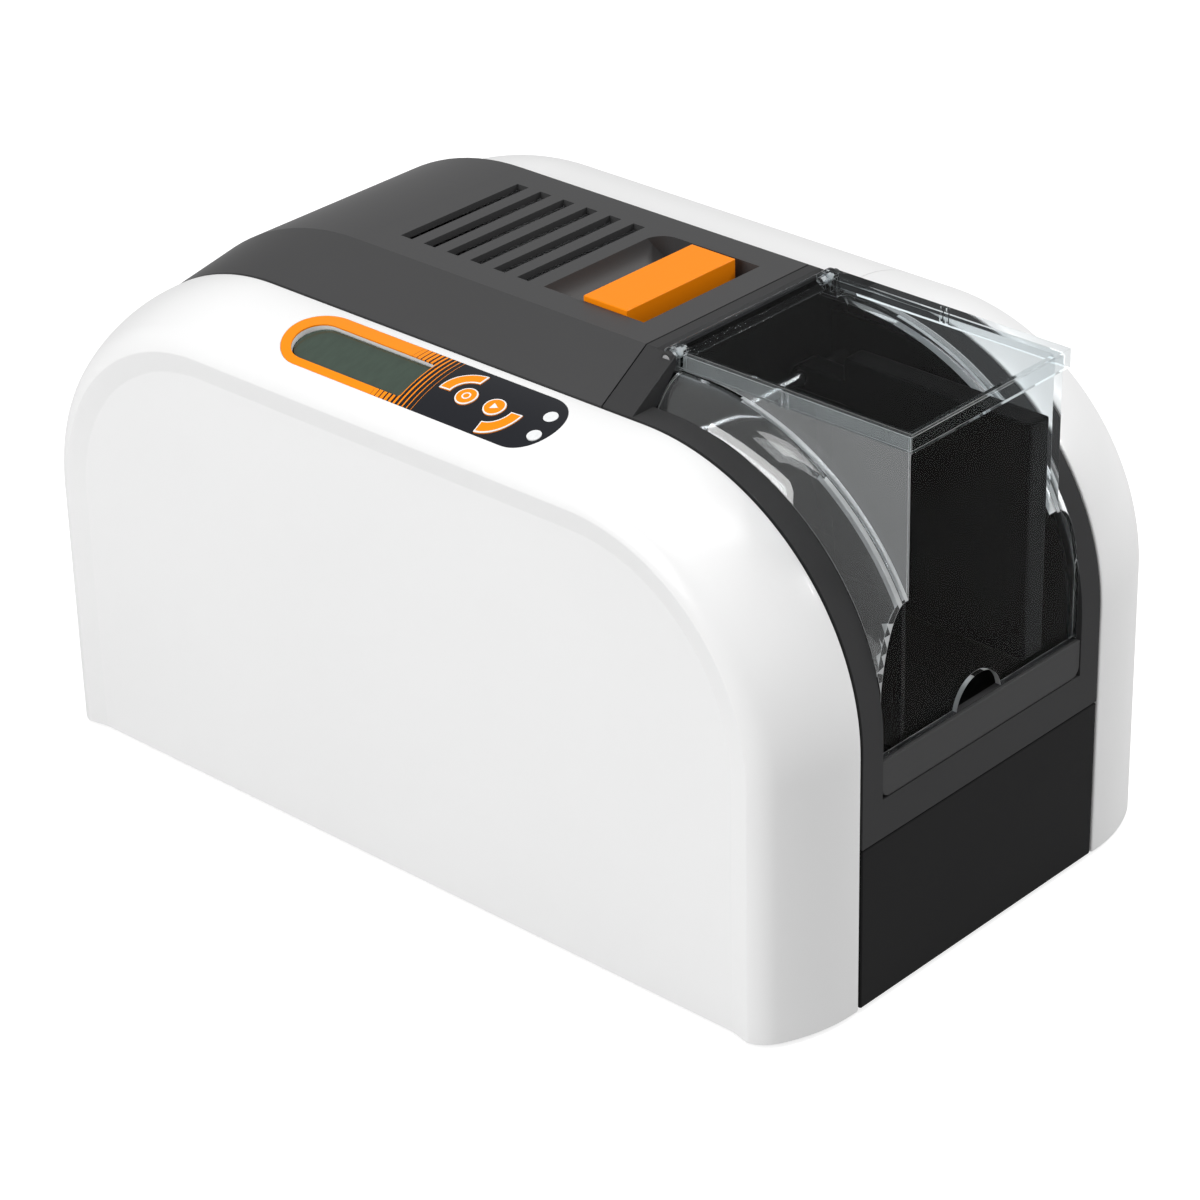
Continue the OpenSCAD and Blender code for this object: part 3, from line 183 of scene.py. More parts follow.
# Side shells. Two white gloss mouldings with an arched outline, whose upper edge rolls over into a
# shallow band and a flat side panel. The far one is split where the hopper frame starts.
# Lengths from here on are in millimetres, with heights above the underside of the casing.
foot_h = 2.0
half_l = 180.0
half_w = 105.0
arch_h = 190.0
arch_r = 92.0
core_half = 65.0
groove = 0.5
wall = 2.5
roll_r = 14.0
roll_drop = 20.0
band_start = 16.0
band_end = 24.0
band_in = 2.4
lip_depth = 8.0
lip_round = 0.7
band_round = 1.2
flat_round = 4.0
flat_depth = band_end + 12.0
seam_x = 68.0
seam_half = 0.15
far_reach = 400.0
arch_cx = half_l - arch_r
arch_cz = arch_h - arch_r
shell_y = core_half + groove
flat_u = shell_y + wall
side_u = half_w - band_in
shoulder_u = half_w - roll_r - flat_u
big_r = (shoulder_u ** 2 + roll_drop ** 2 - roll_r ** 2) / (2 * (roll_drop - roll_r))
roll_from = math.asin(shoulder_u / (big_r - roll_r))
roll_to = math.acos((roll_drop - band_start) / roll_r)

# How finely the curves are drawn.
arch_steps = 40
big_steps = 14
roll_steps = 12
inner_steps = 6
fillet_steps = 5


def fillet(points, radii):
    """The open line through points, with the corner at each point rounded to its radius."""
    line = [Vector(points[0])]
    for before, corner, after, radius in zip(points, points[1:], points[2:], radii):
        corner = Vector(corner)
        a = Vector(before) - corner
        b = Vector(after) - corner
        turn = a.angle(b)
        if radius <= 0 or abs(math.pi - turn) < 0.01:
            line.append(corner)
            continue
        reach = min(radius / math.tan(turn / 2), a.length * 0.49, b.length * 0.49)
        radius = reach * math.tan(turn / 2)
        inward = (a.normalized() + b.normalized()).normalized()
        middle = corner + inward * (radius / math.sin(turn / 2))
        start = corner + a.normalized() * reach - middle
        end = corner + b.normalized() * reach - middle
        sweep = start.angle(end)
        for i in range(fillet_steps + 1):
            t = i / fillet_steps
            mix = start * math.sin((1 - t) * sweep) + end * math.sin(t * sweep)
            line.append(middle + mix / math.sin(sweep))
    line.append(Vector(points[-1]))
    return line


def arc(u, n, radius, start, end, steps):
    """Points (depth, distance from the middle) round a centre; angle 0 points up out of the shell."""
    return [(n - radius * math.cos(start + (end - start) * i / steps),
             u + radius * math.sin(start + (end - start) * i / steps)) for i in range(steps + 1)]


def arch_stations():
    """Places round the arch, each a function from depth to (x, z)."""
    stations = [lambda n: (half_l - n, 0.0)]
    for side, first in ((1, 0.0), (-1, 90.0)):
        for i in range(arch_steps + 1):
            a = math.radians(first + 90.0 * i / arch_steps)
            stations.append(lambda n, s=side, a=a: (s * arch_cx + (arch_r - n) * math.cos(a),
                                                    arch_cz + (arch_r - n) * math.sin(a)))
    stations.append(lambda n: (n - half_l, 0.0))
    return stations


def smooth(piece, degrees):
    """Smooth shading, with edges over this angle kept sharp."""
    piece.data.polygons.foreach_set("use_smooth", [True] * len(piece.data.polygons))
    piece.data.set_sharp_from_angle(angle=math.radians(degrees))


def outward(piece):
    shape = bmesh.new()
    shape.from_mesh(piece.data)
    bmesh.ops.recalc_face_normals(shape, faces=shape.faces)
    shape.to_mesh(piece.data)
    shape.free()


def settle(piece):
    """Turns the piece's modifiers into plain mesh."""
    bpy.context.view_layer.update()
    seen = piece.evaluated_get(bpy.context.evaluated_depsgraph_get())
    mesh = bpy.data.meshes.new_from_object(seen)
    piece.modifiers.clear()
    piece.data = mesh


def carve(piece, tool, how="DIFFERENCE"):
    change = piece.modifiers.new("carve", "BOOLEAN")
    change.operation = how
    change.solver = "EXACT"
    change.object = tool
    settle(piece)
    bpy.data.objects.remove(tool)


def prism(name, outline, low, high, place, material):
    """outline (a, b) pushed from low to high along c; place turns (a, b, c) into metres."""
    count = len(outline)
    points = [place(a, b, c) for c in (low, high) for a, b in outline]
    faces = [tuple(range(count)), tuple(range(2 * count - 1, count - 1, -1))]
    faces += [(i, (i + 1) % count, count + (i + 1) % count, count + i) for i in range(count)]
    piece = mesh_piece(name, points, faces, material)
    outward(piece)
    return piece


def in_plan(x, y, z):
    """Casing coordinates to metres, for an outline seen from above."""
    return Vector((x, y, z + foot_h)) * mm


def from_side(x, z, y):
    """Casing coordinates to metres, for an outline seen from the side."""
    return in_plan(x, y, z)


def from_end(y, z, x):
    """Casing coordinates to metres, for an outline seen from the end."""
    return in_plan(x, y, z)


def box_outline(low_a, high_a, low_b, high_b):
    return [(low_a, low_b), (high_a, low_b), (high_a, high_b), (low_a, high_b)]


def noise_node(nodes, links, place, scale, detail=2.0):
    noise = nodes.new("ShaderNodeTexNoise")
    noise.inputs["Scale"].default_value = scale
    noise.inputs["Detail"].default_value = detail
    links.new(place, noise.inputs["Vector"])
    return noise.outputs["Fac"]


def vary_colour(nodes, links, noise, shader, colour, spread, half_width):
    """Base colour that goes darker and lighter by spread, over half_width round the mean noise."""
    tint = nodes.new("ShaderNodeValToRGB")
    darker, lighter = tint.color_ramp.elements
    darker.position = 0.5 - half_width
    lighter.position = 0.5 + half_width
    darker.color = (*[c * (1 - spread) for c in colour], 1)
    lighter.color = (*[min(1.0, c * (1 + spread)) for c in colour], 1)
    links.new(noise, tint.inputs["Fac"])
    links.new(tint.outputs["Color"], shader.inputs["Base Color"])


def vary_gloss(nodes, links, noise, shader, low, high):
    gloss = nodes.new("ShaderNodeMapRange")
    gloss.inputs["To Min"].default_value = low
    gloss.inputs["To Max"].default_value = high
    links.new(noise, gloss.inputs["Value"])
    links.new(gloss.outputs["Result"], shader.inputs["Roughness"])


def add_bump(nodes, links, noise, shader, strength, depth):
    bump = nodes.new("ShaderNodeBump")
    bump.inputs["Strength"].default_value = strength
    bump.inputs["Distance"].default_value = depth
    links.new(noise, bump.inputs["Height"])
    links.new(bump.outputs["Normal"], shader.inputs["Normal"])


def moulded(name, colour, roughness, grain=900.0, depth=0.00002, mottle=0.03, coat=0.0, shine=0.5):
    """A moulded plastic: fine grain in the surface, a slight mottle in colour and gloss."""
    material, nodes, links, output = new_material(name)
    shader = nodes.new("ShaderNodeBsdfPrincipled")
    place = nodes.new("ShaderNodeTexCoord").outputs["Object"]
    fine = noise_node(nodes, links, place, grain, 3.0)
    broad = noise_node(nodes, links, place, 9.0, 4.0)
    vary_colour(nodes, links, broad, shader, colour, mottle, 0.15)
    vary_gloss(nodes, links, broad, shader, roughness * 0.93, roughness * 1.07)
    add_bump(nodes, links, fine, shader, 0.5, depth)
    shader.inputs["Coat Weight"].default_value = coat
    shader.inputs["Specular IOR Level"].default_value = shine
    shader.inputs["Coat Roughness"].default_value = 0.08
    links.new(shader.outputs[0], output.inputs["Surface"])
    return material


white_gloss = moulded("white_gloss", (0.86, 0.86, 0.86), 0.32, grain=700.0, depth=0.00001,
                      mottle=0.006, coat=0.15)
shell_outer = fillet(
    [(lip_depth, shell_y), (0.0, shell_y)]
    + arc(flat_u, big_r, big_r, 0.0, roll_from, big_steps)
    + arc(half_w - roll_r, roll_drop, roll_r, roll_from, roll_to, roll_steps)[1:]
    + [(band_end, side_u), (flat_depth, side_u)],
    [lip_round] + [0.0] * (big_steps + roll_steps) + [band_round, flat_round])
shell_inner = ([(flat_depth, side_u - wall), (band_end, side_u - wall)]
               + arc(half_w - roll_r, roll_drop, roll_r - wall, roll_to, roll_from, inner_steps)
               + arc(flat_u, big_r, big_r - wall, roll_from, 0.0, inner_steps)
               + [(lip_depth, flat_u)])


def side_shell(name, side):
    """Sweeps the section round the arch and closes it with the flat side panel."""
    section = [tuple(p) for p in reversed(shell_outer)] + list(reversed(shell_inner))
    stations = arch_stations()
    count = len(section)
    points = []
    for station in stations:
        for depth, u in section:
            x, z = station(depth)
            points.append(from_side(x, z, side * u))
    faces = []
    for i in range(len(stations) - 1):
        for j in range(count - 1):
            a = i * count + j
            faces.append((a, a + 1, a + count + 1, a + count))
    last = (len(stations) - 1) * count
    faces.append(tuple(range(count)))
    faces.append(tuple(last + j for j in range(count)))
    outer_edge = [i * count for i in range(len(stations))]
    inner_edge = [i * count + count - 1 for i in range(len(stations))]
    faces += [tuple(outer_edge), tuple(inner_edge)]
    faces.append((outer_edge[0], outer_edge[-1], inner_edge[-1], inner_edge[0]))
    piece = mesh_piece(name, points, faces, white_gloss)
    outward(piece)
    return piece


def keep_half(shell, name, low_x, high_x):
    """Keeps only the far shell's part between two planes across the casing."""
    half = prism(name, box_outline(low_x, high_x, 0, far_reach), -1, far_reach, in_plan,
                 white_gloss)
    carve(shell, half, "INTERSECT")


near_shell = side_shell("near_shell_moulding", -1)
far_shell = side_shell("far_shell_moulding", 1)
far_front = side_shell("far_shell_front_moulding", 1)
keep_half(far_shell, "rear_half", -far_reach, seam_x - seam_half)
keep_half(far_front, "front_half", seam_x + seam_half, far_reach)

# Control panel pocket. The sticker lies in a shallow pocket of the near shell, 0.6 deep, that
# follows the rolled surface; the display window and the key holes go right through the wall.
panel_u = 83.8
panel_tilt = math.asin((panel_u - flat_u) / big_r)
panel_z = arch_h - big_r + big_r * math.cos(panel_tilt)
panel_ends = (-60.0, 66.0)
panel_r = 14.0
overlay_t = 0.6
key_u = (25.1, 38.0)
key_v = -0.7
key_r = 4.2
arc_key_r = 9.8
arc_key_w = 5.0
arc_turn = (138.0, -41.0)
arc_span = 90.0
arc_key_steps = 24
key_gap = 0.3
lcd_u = (-54.4, 2.0)
lcd_v = (-10.2, 7.4)
window_gap = 0.6
window_bevel = 0.8
window_steps = 32
lamp_at = ((59.0, 4.3), (60.3, -5.6))
lamp_r = 2.6
lamp_gap = 0.1
lamp_steps = 40

# How far the cutters of the panel reach: below and above its plane, and along it.
hole_low = -14.0
pocket_low = -8.0
film_low = -9.0
cutter_high = 6.0
cutter_half = 120.0


def on_panel(u, v, w):
    """Panel coordinates (along, up the slope, out of the shell) to metres."""
    c, s = math.cos(panel_tilt), math.sin(panel_tilt)
    return Vector((u, -panel_u + v * c - w * s, panel_z + v * s + w * c + foot_h)) * mm


def panel_curve(v):
    """Height of the shell's curved surface in panel coordinates."""
    return math.sqrt(big_r ** 2 - v * v) - big_r


def ring(cu, cv, radius, count=64):
    turns = [2 * math.pi * i / count for i in range(count)]
    return [(cu + radius * math.cos(a), cv + radius * math.sin(a)) for a in turns]


def stadium(u0, u1, v0, v1, radius):
    """A rounded rectangle."""
    corner_steps = 20
    points = []
    for cu, cv, first in ((u1 - radius, v1 - radius, 0), (u0 + radius, v1 - radius, 90),
                          (u0 + radius, v0 + radius, 180), (u1 - radius, v0 + radius, 270)):
        for i in range(corner_steps + 1):
            a = math.radians(first + 90 * i / corner_steps)
            points.append((cu + radius * math.cos(a), cv + radius * math.sin(a)))
    return points


def display_window(grow):
    """Round at the left end, nearly square at the right."""
    radius = (lcd_v[1] - lcd_v[0]) / 2 + grow
    middle = (lcd_v[1] + lcd_v[0]) / 2
    round_u = lcd_u[0] - grow + radius
    end_u = lcd_u[1] + grow
    points = [(end_u, middle + radius - window_bevel), (end_u - window_bevel, middle + radius)]
    for i in range(window_steps + 1):
        a = math.radians(90 + 180 * i / window_steps)
        points.append((round_u + radius * math.cos(a), middle + radius * math.sin(a)))
    return points + [(end_u - window_bevel, middle - radius), (end_u, middle - radius + window_bevel)]


def arc_key_outline(k, grow):
    """An arc-shaped key, grown by the same amount on all sides."""
    inner = arc_key_r - arc_key_w / 2 - grow
    outer = arc_key_r + arc_key_w / 2 + grow
    half = math.radians(arc_span / 2)
    shares = [2 * i / arc_key_steps - 1 for i in range(arc_key_steps + 1)]
    points = [(outer, (half + grow / outer) * share) for share in shares]
    points += [(inner, -(half + grow / inner) * share) for share in shares]
    turn = math.radians(arc_turn[k])
    return [(key_u[k] + r * math.cos(a + turn), key_v + r * math.sin(a + turn)) for r, a in points]


def bar_arc(depth):
    """Section (y, z) of the shell's curved surface, drawn in by depth, in half degrees."""
    angles = [math.radians(a / 2) for a in range(-30, 100)]
    return [(-flat_u - (big_r - depth) * math.sin(a), arch_h - big_r + (big_r - depth) * math.cos(a))
            for a in angles]


def bar_sector(depth):
    """The same section closed on the curve's centre, as part of a round bar."""
    return bar_arc(depth) + [(-flat_u - 20, arch_h - big_r), (-flat_u, arch_h - big_r)]


def panel_holes(target):
    """Cuts the display window and the holes of the keys and the status lights."""
    outlines = [display_window(window_gap)]
    outlines += [arc_key_outline(k, key_gap) for k in (0, 1)]
    outlines += [ring(key_u[k], key_v, key_r + key_gap) for k in (0, 1)]
    outlines += [ring(u, v, lamp_r + lamp_gap, lamp_steps) for u, v in lamp_at]
    for outline in outlines:
        carve(target, prism("hole", outline, hole_low, cutter_high, on_panel, white_gloss))


pocket = prism("pocket", stadium(*panel_ends, -panel_r, panel_r, panel_r), pocket_low, cutter_high,
               on_panel, white_gloss)
carve(pocket, prism("pocket_floor", bar_sector(overlay_t), -cutter_half, cutter_half, from_end,
                    white_gloss))
carve(near_shell, pocket)
panel_holes(near_shell)
for shell, node in ((near_shell, "near_shell"), (far_shell, "far_shell"),
                    (far_front, "far_shell_front")):
    smooth(shell, 24.0)
    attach(shell, "root")
    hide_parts(node)

# Panel sticker. A printed film, orange round the display and black round the keys, where the two
# colours meet in upright bars that thin out to the right. It is glued into the pocket.
film_edge = 0.15
film_top = 0.02

# The bars' pitch, and where they start and end along the casing, in metres.
bar_pitch = 0.0021
bars_start = -0.010
bars_end = 0.0125

overlay_material, nodes, links, output = new_material("printed_film")
film = nodes.new("ShaderNodeBsdfPrincipled")
film_place = nodes.new("ShaderNodeTexCoord").outputs["Object"]
film_axes = nodes.new("ShaderNodeSeparateXYZ")
links.new(film_place, film_axes.inputs[0])
along = film_axes.outputs["X"]
bar_wave = math_node(nodes, links, "FRACT",
                     math_node(nodes, links, "DIVIDE", along, bar_pitch))
bar_share = nodes.new("ShaderNodeMapRange")
bar_share.inputs["From Min"].default_value = bars_start
bar_share.inputs["From Max"].default_value = bars_end
bar_share.inputs["To Min"].default_value = 1.0
bar_share.inputs["To Max"].default_value = 0.0
links.new(along, bar_share.inputs["Value"])
is_orange = math_node(nodes, links, "LESS_THAN", bar_wave, bar_share.outputs["Result"])
film_colour = nodes.new("ShaderNodeMix")
film_colour.data_type = "RGBA"
film_colour.inputs["A"].default_value = (0.013, 0.014, 0.018, 1)
film_colour.inputs["B"].default_value = (0.96, 0.27, 0.004, 1)
links.new(is_orange, film_colour.inputs["Factor"])
links.new(film_colour.outputs["Result"], film.inputs["Base Color"])
add_bump(nodes, links, noise_node(nodes, links, film_place, 1600.0), film, 0.35, 0.00001)
film.inputs["Roughness"].default_value = 0.28
film.inputs["Specular IOR Level"].default_value = 0.2
links.new(film.outputs[0], output.inputs["Surface"])

layer_outline = bar_arc(film_top) + list(reversed(bar_arc(overlay_t)))
overlay = prism("panel_sticker", layer_outline, panel_ends[0] - 2, panel_ends[1] + 2, from_end,
                overlay_material)
film_r = panel_r - film_edge
film_outline = stadium(panel_ends[0] + film_edge, panel_ends[1] - film_edge, -film_r, film_r, film_r)
carve(overlay, prism("film_cutter", film_outline, film_low, cutter_high, on_panel, overlay_material),
      "INTERSECT")
panel_holes(overlay)
smooth(overlay, 24.0)
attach(overlay, "root")
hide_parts("panel_overlay")

# Keys. Four orange caps with a white printed border, two round ones between two arc-shaped ones.
# Each is a loose moulding that drops onto its switch; a ring and a triangle mark the round ones.
key_orange = moulded("key_orange_plastic", (0.97, 0.27, 0.003), 0.34, grain=1500.0, depth=0.000008,
                     mottle=0.02, shine=0.15)
print_white = moulded("white_print", (0.86, 0.86, 0.85), 0.35, grain=1500.0, depth=0.000006,
                      mottle=0.01)
key_proud = 0.33
key_low = -5.0
cap_drop = 0.18
border_w = 0.55
cap_insets = (0.0, 0.12, border_w, border_w + 0.05)
cap_paints = (1, 1, 0)
sign_proud = key_proud + 0.02
sign_r = 1.7
sign_hole_r = 1.15
sign_steps = 40


def key_cap(node, body, rows):
    """A cap from nested closed outlines, outermost first; cap_paints has each band's material."""
    count = len(rows[0])
    points = []
    for k, row in enumerate(rows):
        height = key_proud - (cap_drop if k == 0 else 0.0)
        points += [on_panel(u, v, panel_curve(v) + height) for u, v in row]
    faces = []
    paints = []
    for k, paint in enumerate(cap_paints):
        for i in range(count):
            j = (i + 1) % count
            faces.append((k * count + i, k * count + j, (k + 1) * count + j, (k + 1) * count + i))
            paints.append(paint)
    last = (len(rows) - 1) * count
    faces.append(tuple(last + i for i in range(count)))
    base = len(points)
    points += [on_panel(u, v, key_low) for u, v in rows[0]]
    faces += [(base + i, base + (i + 1) % count, (i + 1) % count, i) for i in range(count)]
    faces.append(tuple(base + i for i in reversed(range(count))))
    paints += [0] * (len(faces) - len(paints))
    cap = mesh_piece(node + "_cap", points, faces, key_orange)
    cap.data.materials.append(print_white)
    cap.data.polygons.foreach_set("material_index", paints)
    outward(cap)
    smooth(cap, 30.0)
    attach(cap, body)
    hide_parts(node)


def sign_patch(name, outline, hole, body):
    """A printed sign, a hair above the cap."""
    count = len(outline)
    points = [on_panel(u, v, panel_curve(v) + sign_proud) for u, v in outline + hole]
    if hole:
        faces = [(i, (i + 1) % count, count + (i + 1) % count, count + i) for i in range(count)]
    else:
        faces = [tuple(range(count))]
    patch = mesh_piece(name, points, faces, print_white)
    outward(patch)
    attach(patch, body)


for k, node, body in ((0, "key_round_left", "key_2"), (1, "key_round_right", "key_3")):
    key_cap(node, body, [ring(key_u[k], key_v, key_r - inset) for inset in cap_insets])
sign_patch("ring_sign", ring(key_u[0], key_v, sign_r, sign_steps),
           ring(key_u[0], key_v, sign_hole_r, sign_steps), "key_2")
sign_patch("triangle_sign", [(key_u[1] + sign_r, key_v), (key_u[1] - 1.1, key_v + 1.5),
                             (key_u[1] - 1.1, key_v - 1.5)], [], "key_3")
for k, node, body in ((0, "key_arc_left", "key_1"), (1, "key_arc_right", "key_4")):
    key_cap(node, body, [arc_key_outline(k, -inset) for inset in cap_insets])


def plate_finish(name, colour, roughness, metallic=0.0, stretch=(1.0, 1.0, 1.0), scale=300.0,
                 strength=0.3, depth=0.00001, spread=0.05):
    """A plain surface with a directional grain, for metals, rubber, board and lenses."""
    material, nodes, links, output = new_material(name)
    shader = nodes.new("ShaderNodeBsdfPrincipled")
    place = nodes.new("ShaderNodeTexCoord")
    turn = nodes.new("ShaderNodeMapping")
    turn.inputs["Scale"].default_value = stretch
    links.new(place.outputs["Object"], turn.inputs["Vector"])
    grain = noise_node(nodes, links, turn.outputs["Vector"], scale, 5.0)
    vary_colour(nodes, links, grain, shader, colour, spread, 0.2)
    vary_gloss(nodes, links, grain, shader, roughness * 0.8, roughness * 1.2)
    add_bump(nodes, links, grain, shader, strength, depth)
    shader.inputs["Metallic"].default_value = metallic
    links.new(shader.outputs[0], output.inputs["Surface"])
    return material


def dress(material, *names):
    """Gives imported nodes, whose shape is right as it is, their finish."""
    for node_name in names:
        piece = frame["nodes"][node_name]
        if not piece.material_slots:
            piece.data.materials.append(material)
        for holder in piece.material_slots:
            holder.material = material


# Status lights and display. Two milky lenses and a green-grey liquid crystal display behind the
# window; both are soldered to the small board under the panel.
dress(plate_finish("milky_lens", (0.80, 0.81, 0.82), 0.2, scale=500.0), "status_lights")
dress(plate_finish("display_glass", (0.040, 0.062, 0.046), 0.12, stretch=(1.0, 0.2, 1.0),
                   scale=420.0, spread=0.08), "lcd_module")

# Top cover, hopper frame and panels. Charcoal mouldings with a fine spark-eroded texture: the cover
# hinges at the rear, the frame is screwed down, and the end panels slide into the casing. The frame's
# walls inside the hopper are painted near black, as painted shade, like the liner.
charcoal = moulded("charcoal_plastic", (0.053, 0.053, 0.054), 0.42, grain=1300.0, depth=0.00002,
                   mottle=0.04, shine=0.3)
frame_grey = moulded("frame_plastic", (0.046, 0.046, 0.047), 0.50, grain=1300.0, depth=0.00002,
                     mottle=0.04, shine=0.05)
black = moulded("black_plastic", (0.012, 0.012, 0.0125), 0.55, grain=1300.0, depth=0.00002,
                mottle=0.05, shine=0.07)
# Black plastic made darker still, as painted shade for the parts inside the hopper.
shade_black = moulded("hopper_painted_shade_plastic", (0.003, 0.003, 0.0031), 0.38, grain=1500.0,
                     depth=0.000001, mottle=0.0, shine=0.03)
lip_grey = moulded("lip_grey_plastic", (0.056, 0.056, 0.057), 0.50, grain=1300.0, depth=0.00002,
                   mottle=0.04, shine=0.1)
latch_orange = moulded("latch_orange_plastic", (0.93, 0.25, 0.002), 0.36, grain=1200.0,
                       depth=0.00001, mottle=0.02, shine=0.15)
facing = 0.9
inner_wall_x = seam_x + 10.0
inner_wall_top = 197.0


def soften(node_name, piece_name, material, width, crease=28.0, segments=2, shade=35.0):
    """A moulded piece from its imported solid: flat faces joined up, edges over crease degrees
    rounded to width, and smooth shading between edges under shade degrees."""
    solid = frame["nodes"][node_name]
    shape = bmesh.new()
    shape.from_mesh(solid.data)
    bmesh.ops.remove_doubles(shape, verts=shape.verts, dist=0.000002)
    bmesh.ops.dissolve_limit(shape, angle_limit=math.radians(0.6), verts=shape.verts,
                             edges=shape.edges)
    mesh = bpy.data.meshes.new(piece_name)
    shape.to_mesh(mesh)
    shape.free()
    mesh.materials.append(material)
    piece = bpy.data.objects.new(piece_name, mesh)
    bpy.context.scene.collection.objects.link(piece)
    edge = piece.modifiers.new("edge", "BEVEL")
    edge.width = width * mm
    edge.segments = segments
    edge.limit_method = "ANGLE"
    edge.angle_limit = math.radians(crease)
    settle(piece)
    smooth(piece, shade)
    weighted = piece.modifiers.new("weighted", "WEIGHTED_NORMAL")
    weighted.keep_sharp = True
    settle(piece)
    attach(piece, solid["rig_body"])
    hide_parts(node_name)
    return piece


soften("top_cover", "cover_moulding", charcoal, 0.5, crease=9.0, shade=9.0)
hopper_frame = soften("hopper_frame", "frame_moulding", frame_grey, 0.4, crease=9.0,
                      shade=9.0)
hopper_frame.data.materials.append(shade_black)
# The frame's faces that look into the hopper take the near-black painted shade, not the frame's grey.
for face in hopper_frame.data.polygons:
    shaded_hopper_face = face.normal.x > facing and face.center.x < inner_wall_x * mm
    if shaded_hopper_face and face.center.z < inner_wall_top * mm:
        face.material_index = 1
soften("rear_panel", "rear_moulding", charcoal, 0.4)
soften("front_panel", "front_moulding", black, 0.6)
soften("lip_plate", "lip_moulding", lip_grey, 0.35)
soften("latch_button", "latch_moulding", latch_orange, 0.9, segments=4)
dress(black, "base_tray", "rear_sockets", "power_switch", "ribbon_cassette", "card_rail",
      "fan_frame", "fan_rotor")


def clear_finish(name, mirror, ior, haze=0.0):
    """Water-clear moulding: mirror is how much of its gloss shows face on, haze the share of light
    that its surface scatters."""
    material, nodes, links, output = new_material(name)
    glass = nodes.new("ShaderNodeBsdfPrincipled")
    glass.inputs["Base Color"].default_value = (0.86, 0.885, 0.895, 1)
    glass.inputs["Transmission Weight"].default_value = 1.0 - haze
    glass.inputs["IOR"].default_value = ior
    glass.inputs["Specular Tint"].default_value = (mirror, mirror, mirror, 1)
    place = nodes.new("ShaderNodeTexCoord")
    flow = noise_node(nodes, links, place.outputs["Object"], 25.0)
    vary_gloss(nodes, links, flow, glass, 0.005, 0.015)
    add_bump(nodes, links, flow, glass, 0.03, 0.0002)
    links.new(glass.outputs[0], output.inputs["Surface"])
    return material


# Clear hopper cover and lid. Two water-clear mouldings with rounded edges: the cover's shoulders
# follow the arch and it swings up at the front, and the lid turns on two pins behind it. The broad
# walls hardly reflect. The shoulders outside the box reflect like glass (material 1). The near wall
# has a white haze that the key light brightens, a painted highlight in place of reflections (2), and
# the small slanted faces of the rounded edges have a stronger haze, as painted highlights (3).
flange_y = 40.8
small_on_flange = 3.0
small_on_wall = 30.0
square_on = 0.98
clear = clear_finish("clear_moulding", 0.03, 1.07)
clear_flange = clear_finish("clear_flange", 1.0, 1.6, haze=0.025)
# Near wall with a white haze: a painted highlight standing in for the reflections on that wall.
side_painted_highlight = clear_finish("near_wall_painted_highlight", 0.3, 1.12, haze=0.22)
# Edge faces with a strong haze: a painted highlight standing in for the bright edge lines.
edge_painted_highlight = clear_finish("edge_painted_highlight", 1.0, 1.48, haze=0.5)
clear_cover = soften("hopper_cover", "clear_cover_moulding", clear, 0.6, segments=3)
clear_lid = soften("hopper_lid", "clear_lid_moulding", clear, 0.45, segments=3)
for piece in (clear_cover, clear_lid):
    for finish in (clear_flange, side_painted_highlight, edge_painted_highlight):
        piece.data.materials.append(finish)
    for face in piece.data.polygons:
        on_flange = piece == clear_cover and abs(face.center.y) > flange_y * mm
        broad = face.area > (small_on_flange if on_flange else small_on_wall) * mm * mm
        straight = broad or max(abs(n) for n in face.normal) > square_on
        # Small slanted edge faces take the painted edge highlight; the near wall takes the painted
        # haze highlight.
        if not straight:
            face.material_index = 3
        elif on_flange:
            face.material_index = 1
        elif piece == clear_cover and face.normal.y < -facing and face.center.y < 0.0:
            face.material_index = 2

# Card pusher and liner. The black follower that keeps the stack against the pick roller, in a black
# tub. Both are black plastic, painted darker than the other black parts as painted shade
# inside the hopper.
soften("hopper_liner", "liner_moulding", shade_black, 0.3)
soften("card_pusher", "pusher_moulding", shade_black, 0.8, segments=3)

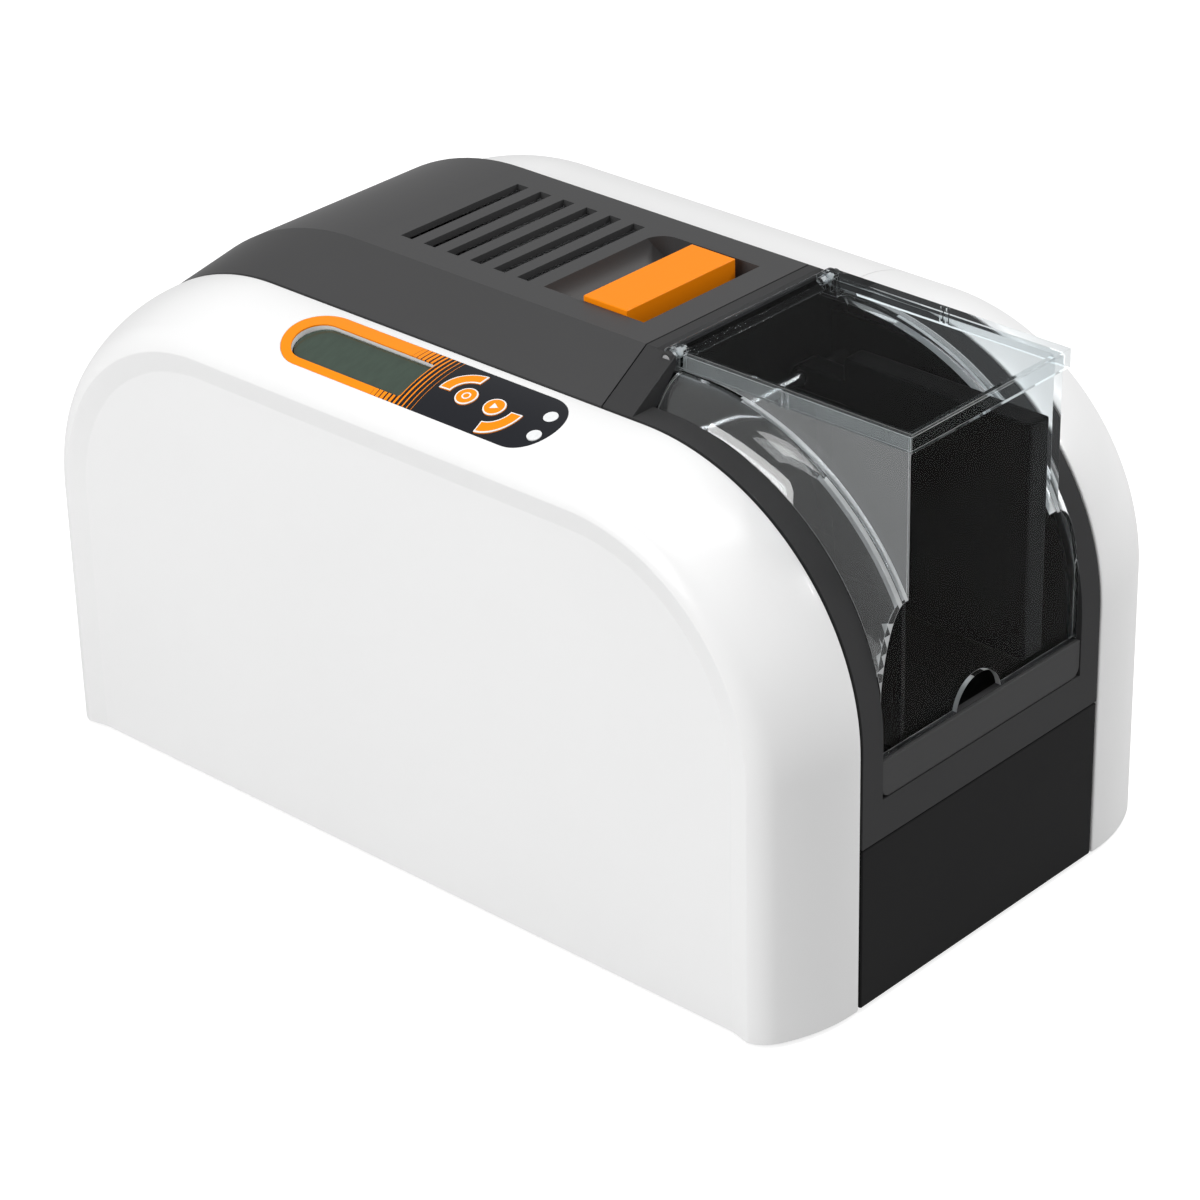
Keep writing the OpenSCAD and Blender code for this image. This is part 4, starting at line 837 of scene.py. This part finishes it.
# Card drive. Folded zinc-plated plates, ground rubber rollers on steel spindles, a toothless belt and
# two small motors; the spindles turn in plain holes. The pins and the pusher's rods are steel too.
zinc = plate_finish("zinc_plate", (0.55, 0.56, 0.57), 0.34, metallic=1.0, stretch=(1.0, 1.0, 6.0),
                    scale=160.0)
turned_steel = plate_finish("turned_steel", (0.62, 0.62, 0.63), 0.22, metallic=1.0,
                            stretch=(1.0, 1.0, 30.0), scale=120.0)
rubber = plate_finish("ground_rubber", (0.028, 0.030, 0.032), 0.75, stretch=(1.0, 1.0, 0.3),
                      scale=900.0, strength=0.6, depth=0.00004)
brass = plate_finish("cut_brass", (0.60, 0.43, 0.15), 0.26, metallic=1.0, scale=500.0)
motor_can = plate_finish("motor_can", (0.50, 0.50, 0.51), 0.3, metallic=1.0, scale=260.0)
dress(zinc, "side_plate_near", "side_plate_far", "deck_plate", "motor_bracket", "roller_bridge",
      "head_bracket", "latch_keeper")
dress(turned_steel, "cover_hinge_pins", "lid_hinge_pins", "pusher_rods", "platen_spindle",
      "entry_spindle", "exit_spindle", "pick_spindle", "screws")
dress(rubber, "platen_roller", "entry_roller", "exit_roller", "pick_roller", "pinch_rollers_entry",
      "pinch_rollers_exit", "drive_belt", "feet")
dress(brass, "feed_pinion", "ribbon_pinion")
dress(motor_can, "feed_motor", "ribbon_motor")

# Ribbon, print head and boards. A dark dye ribbon between two grey spools in a black cassette, an
# aluminium head with cooling fins, and green boards with their chips.
dress(plate_finish("head_aluminium", (0.62, 0.63, 0.64), 0.35, metallic=1.0,
                   stretch=(1.0, 8.0, 1.0), scale=150.0), "print_head")
dress(moulded("spool_plastic", (0.30, 0.31, 0.32), 0.45), "takeup_spool", "supply_spool")
dress(plate_finish("dye_ribbon", (0.05, 0.025, 0.06), 0.2, stretch=(1.0, 1.0, 0.1), scale=300.0),
      "ribbon_film")
dress(plate_finish("green_board", (0.02, 0.11, 0.05), 0.3, scale=700.0, spread=0.15),
      "main_board", "control_board")
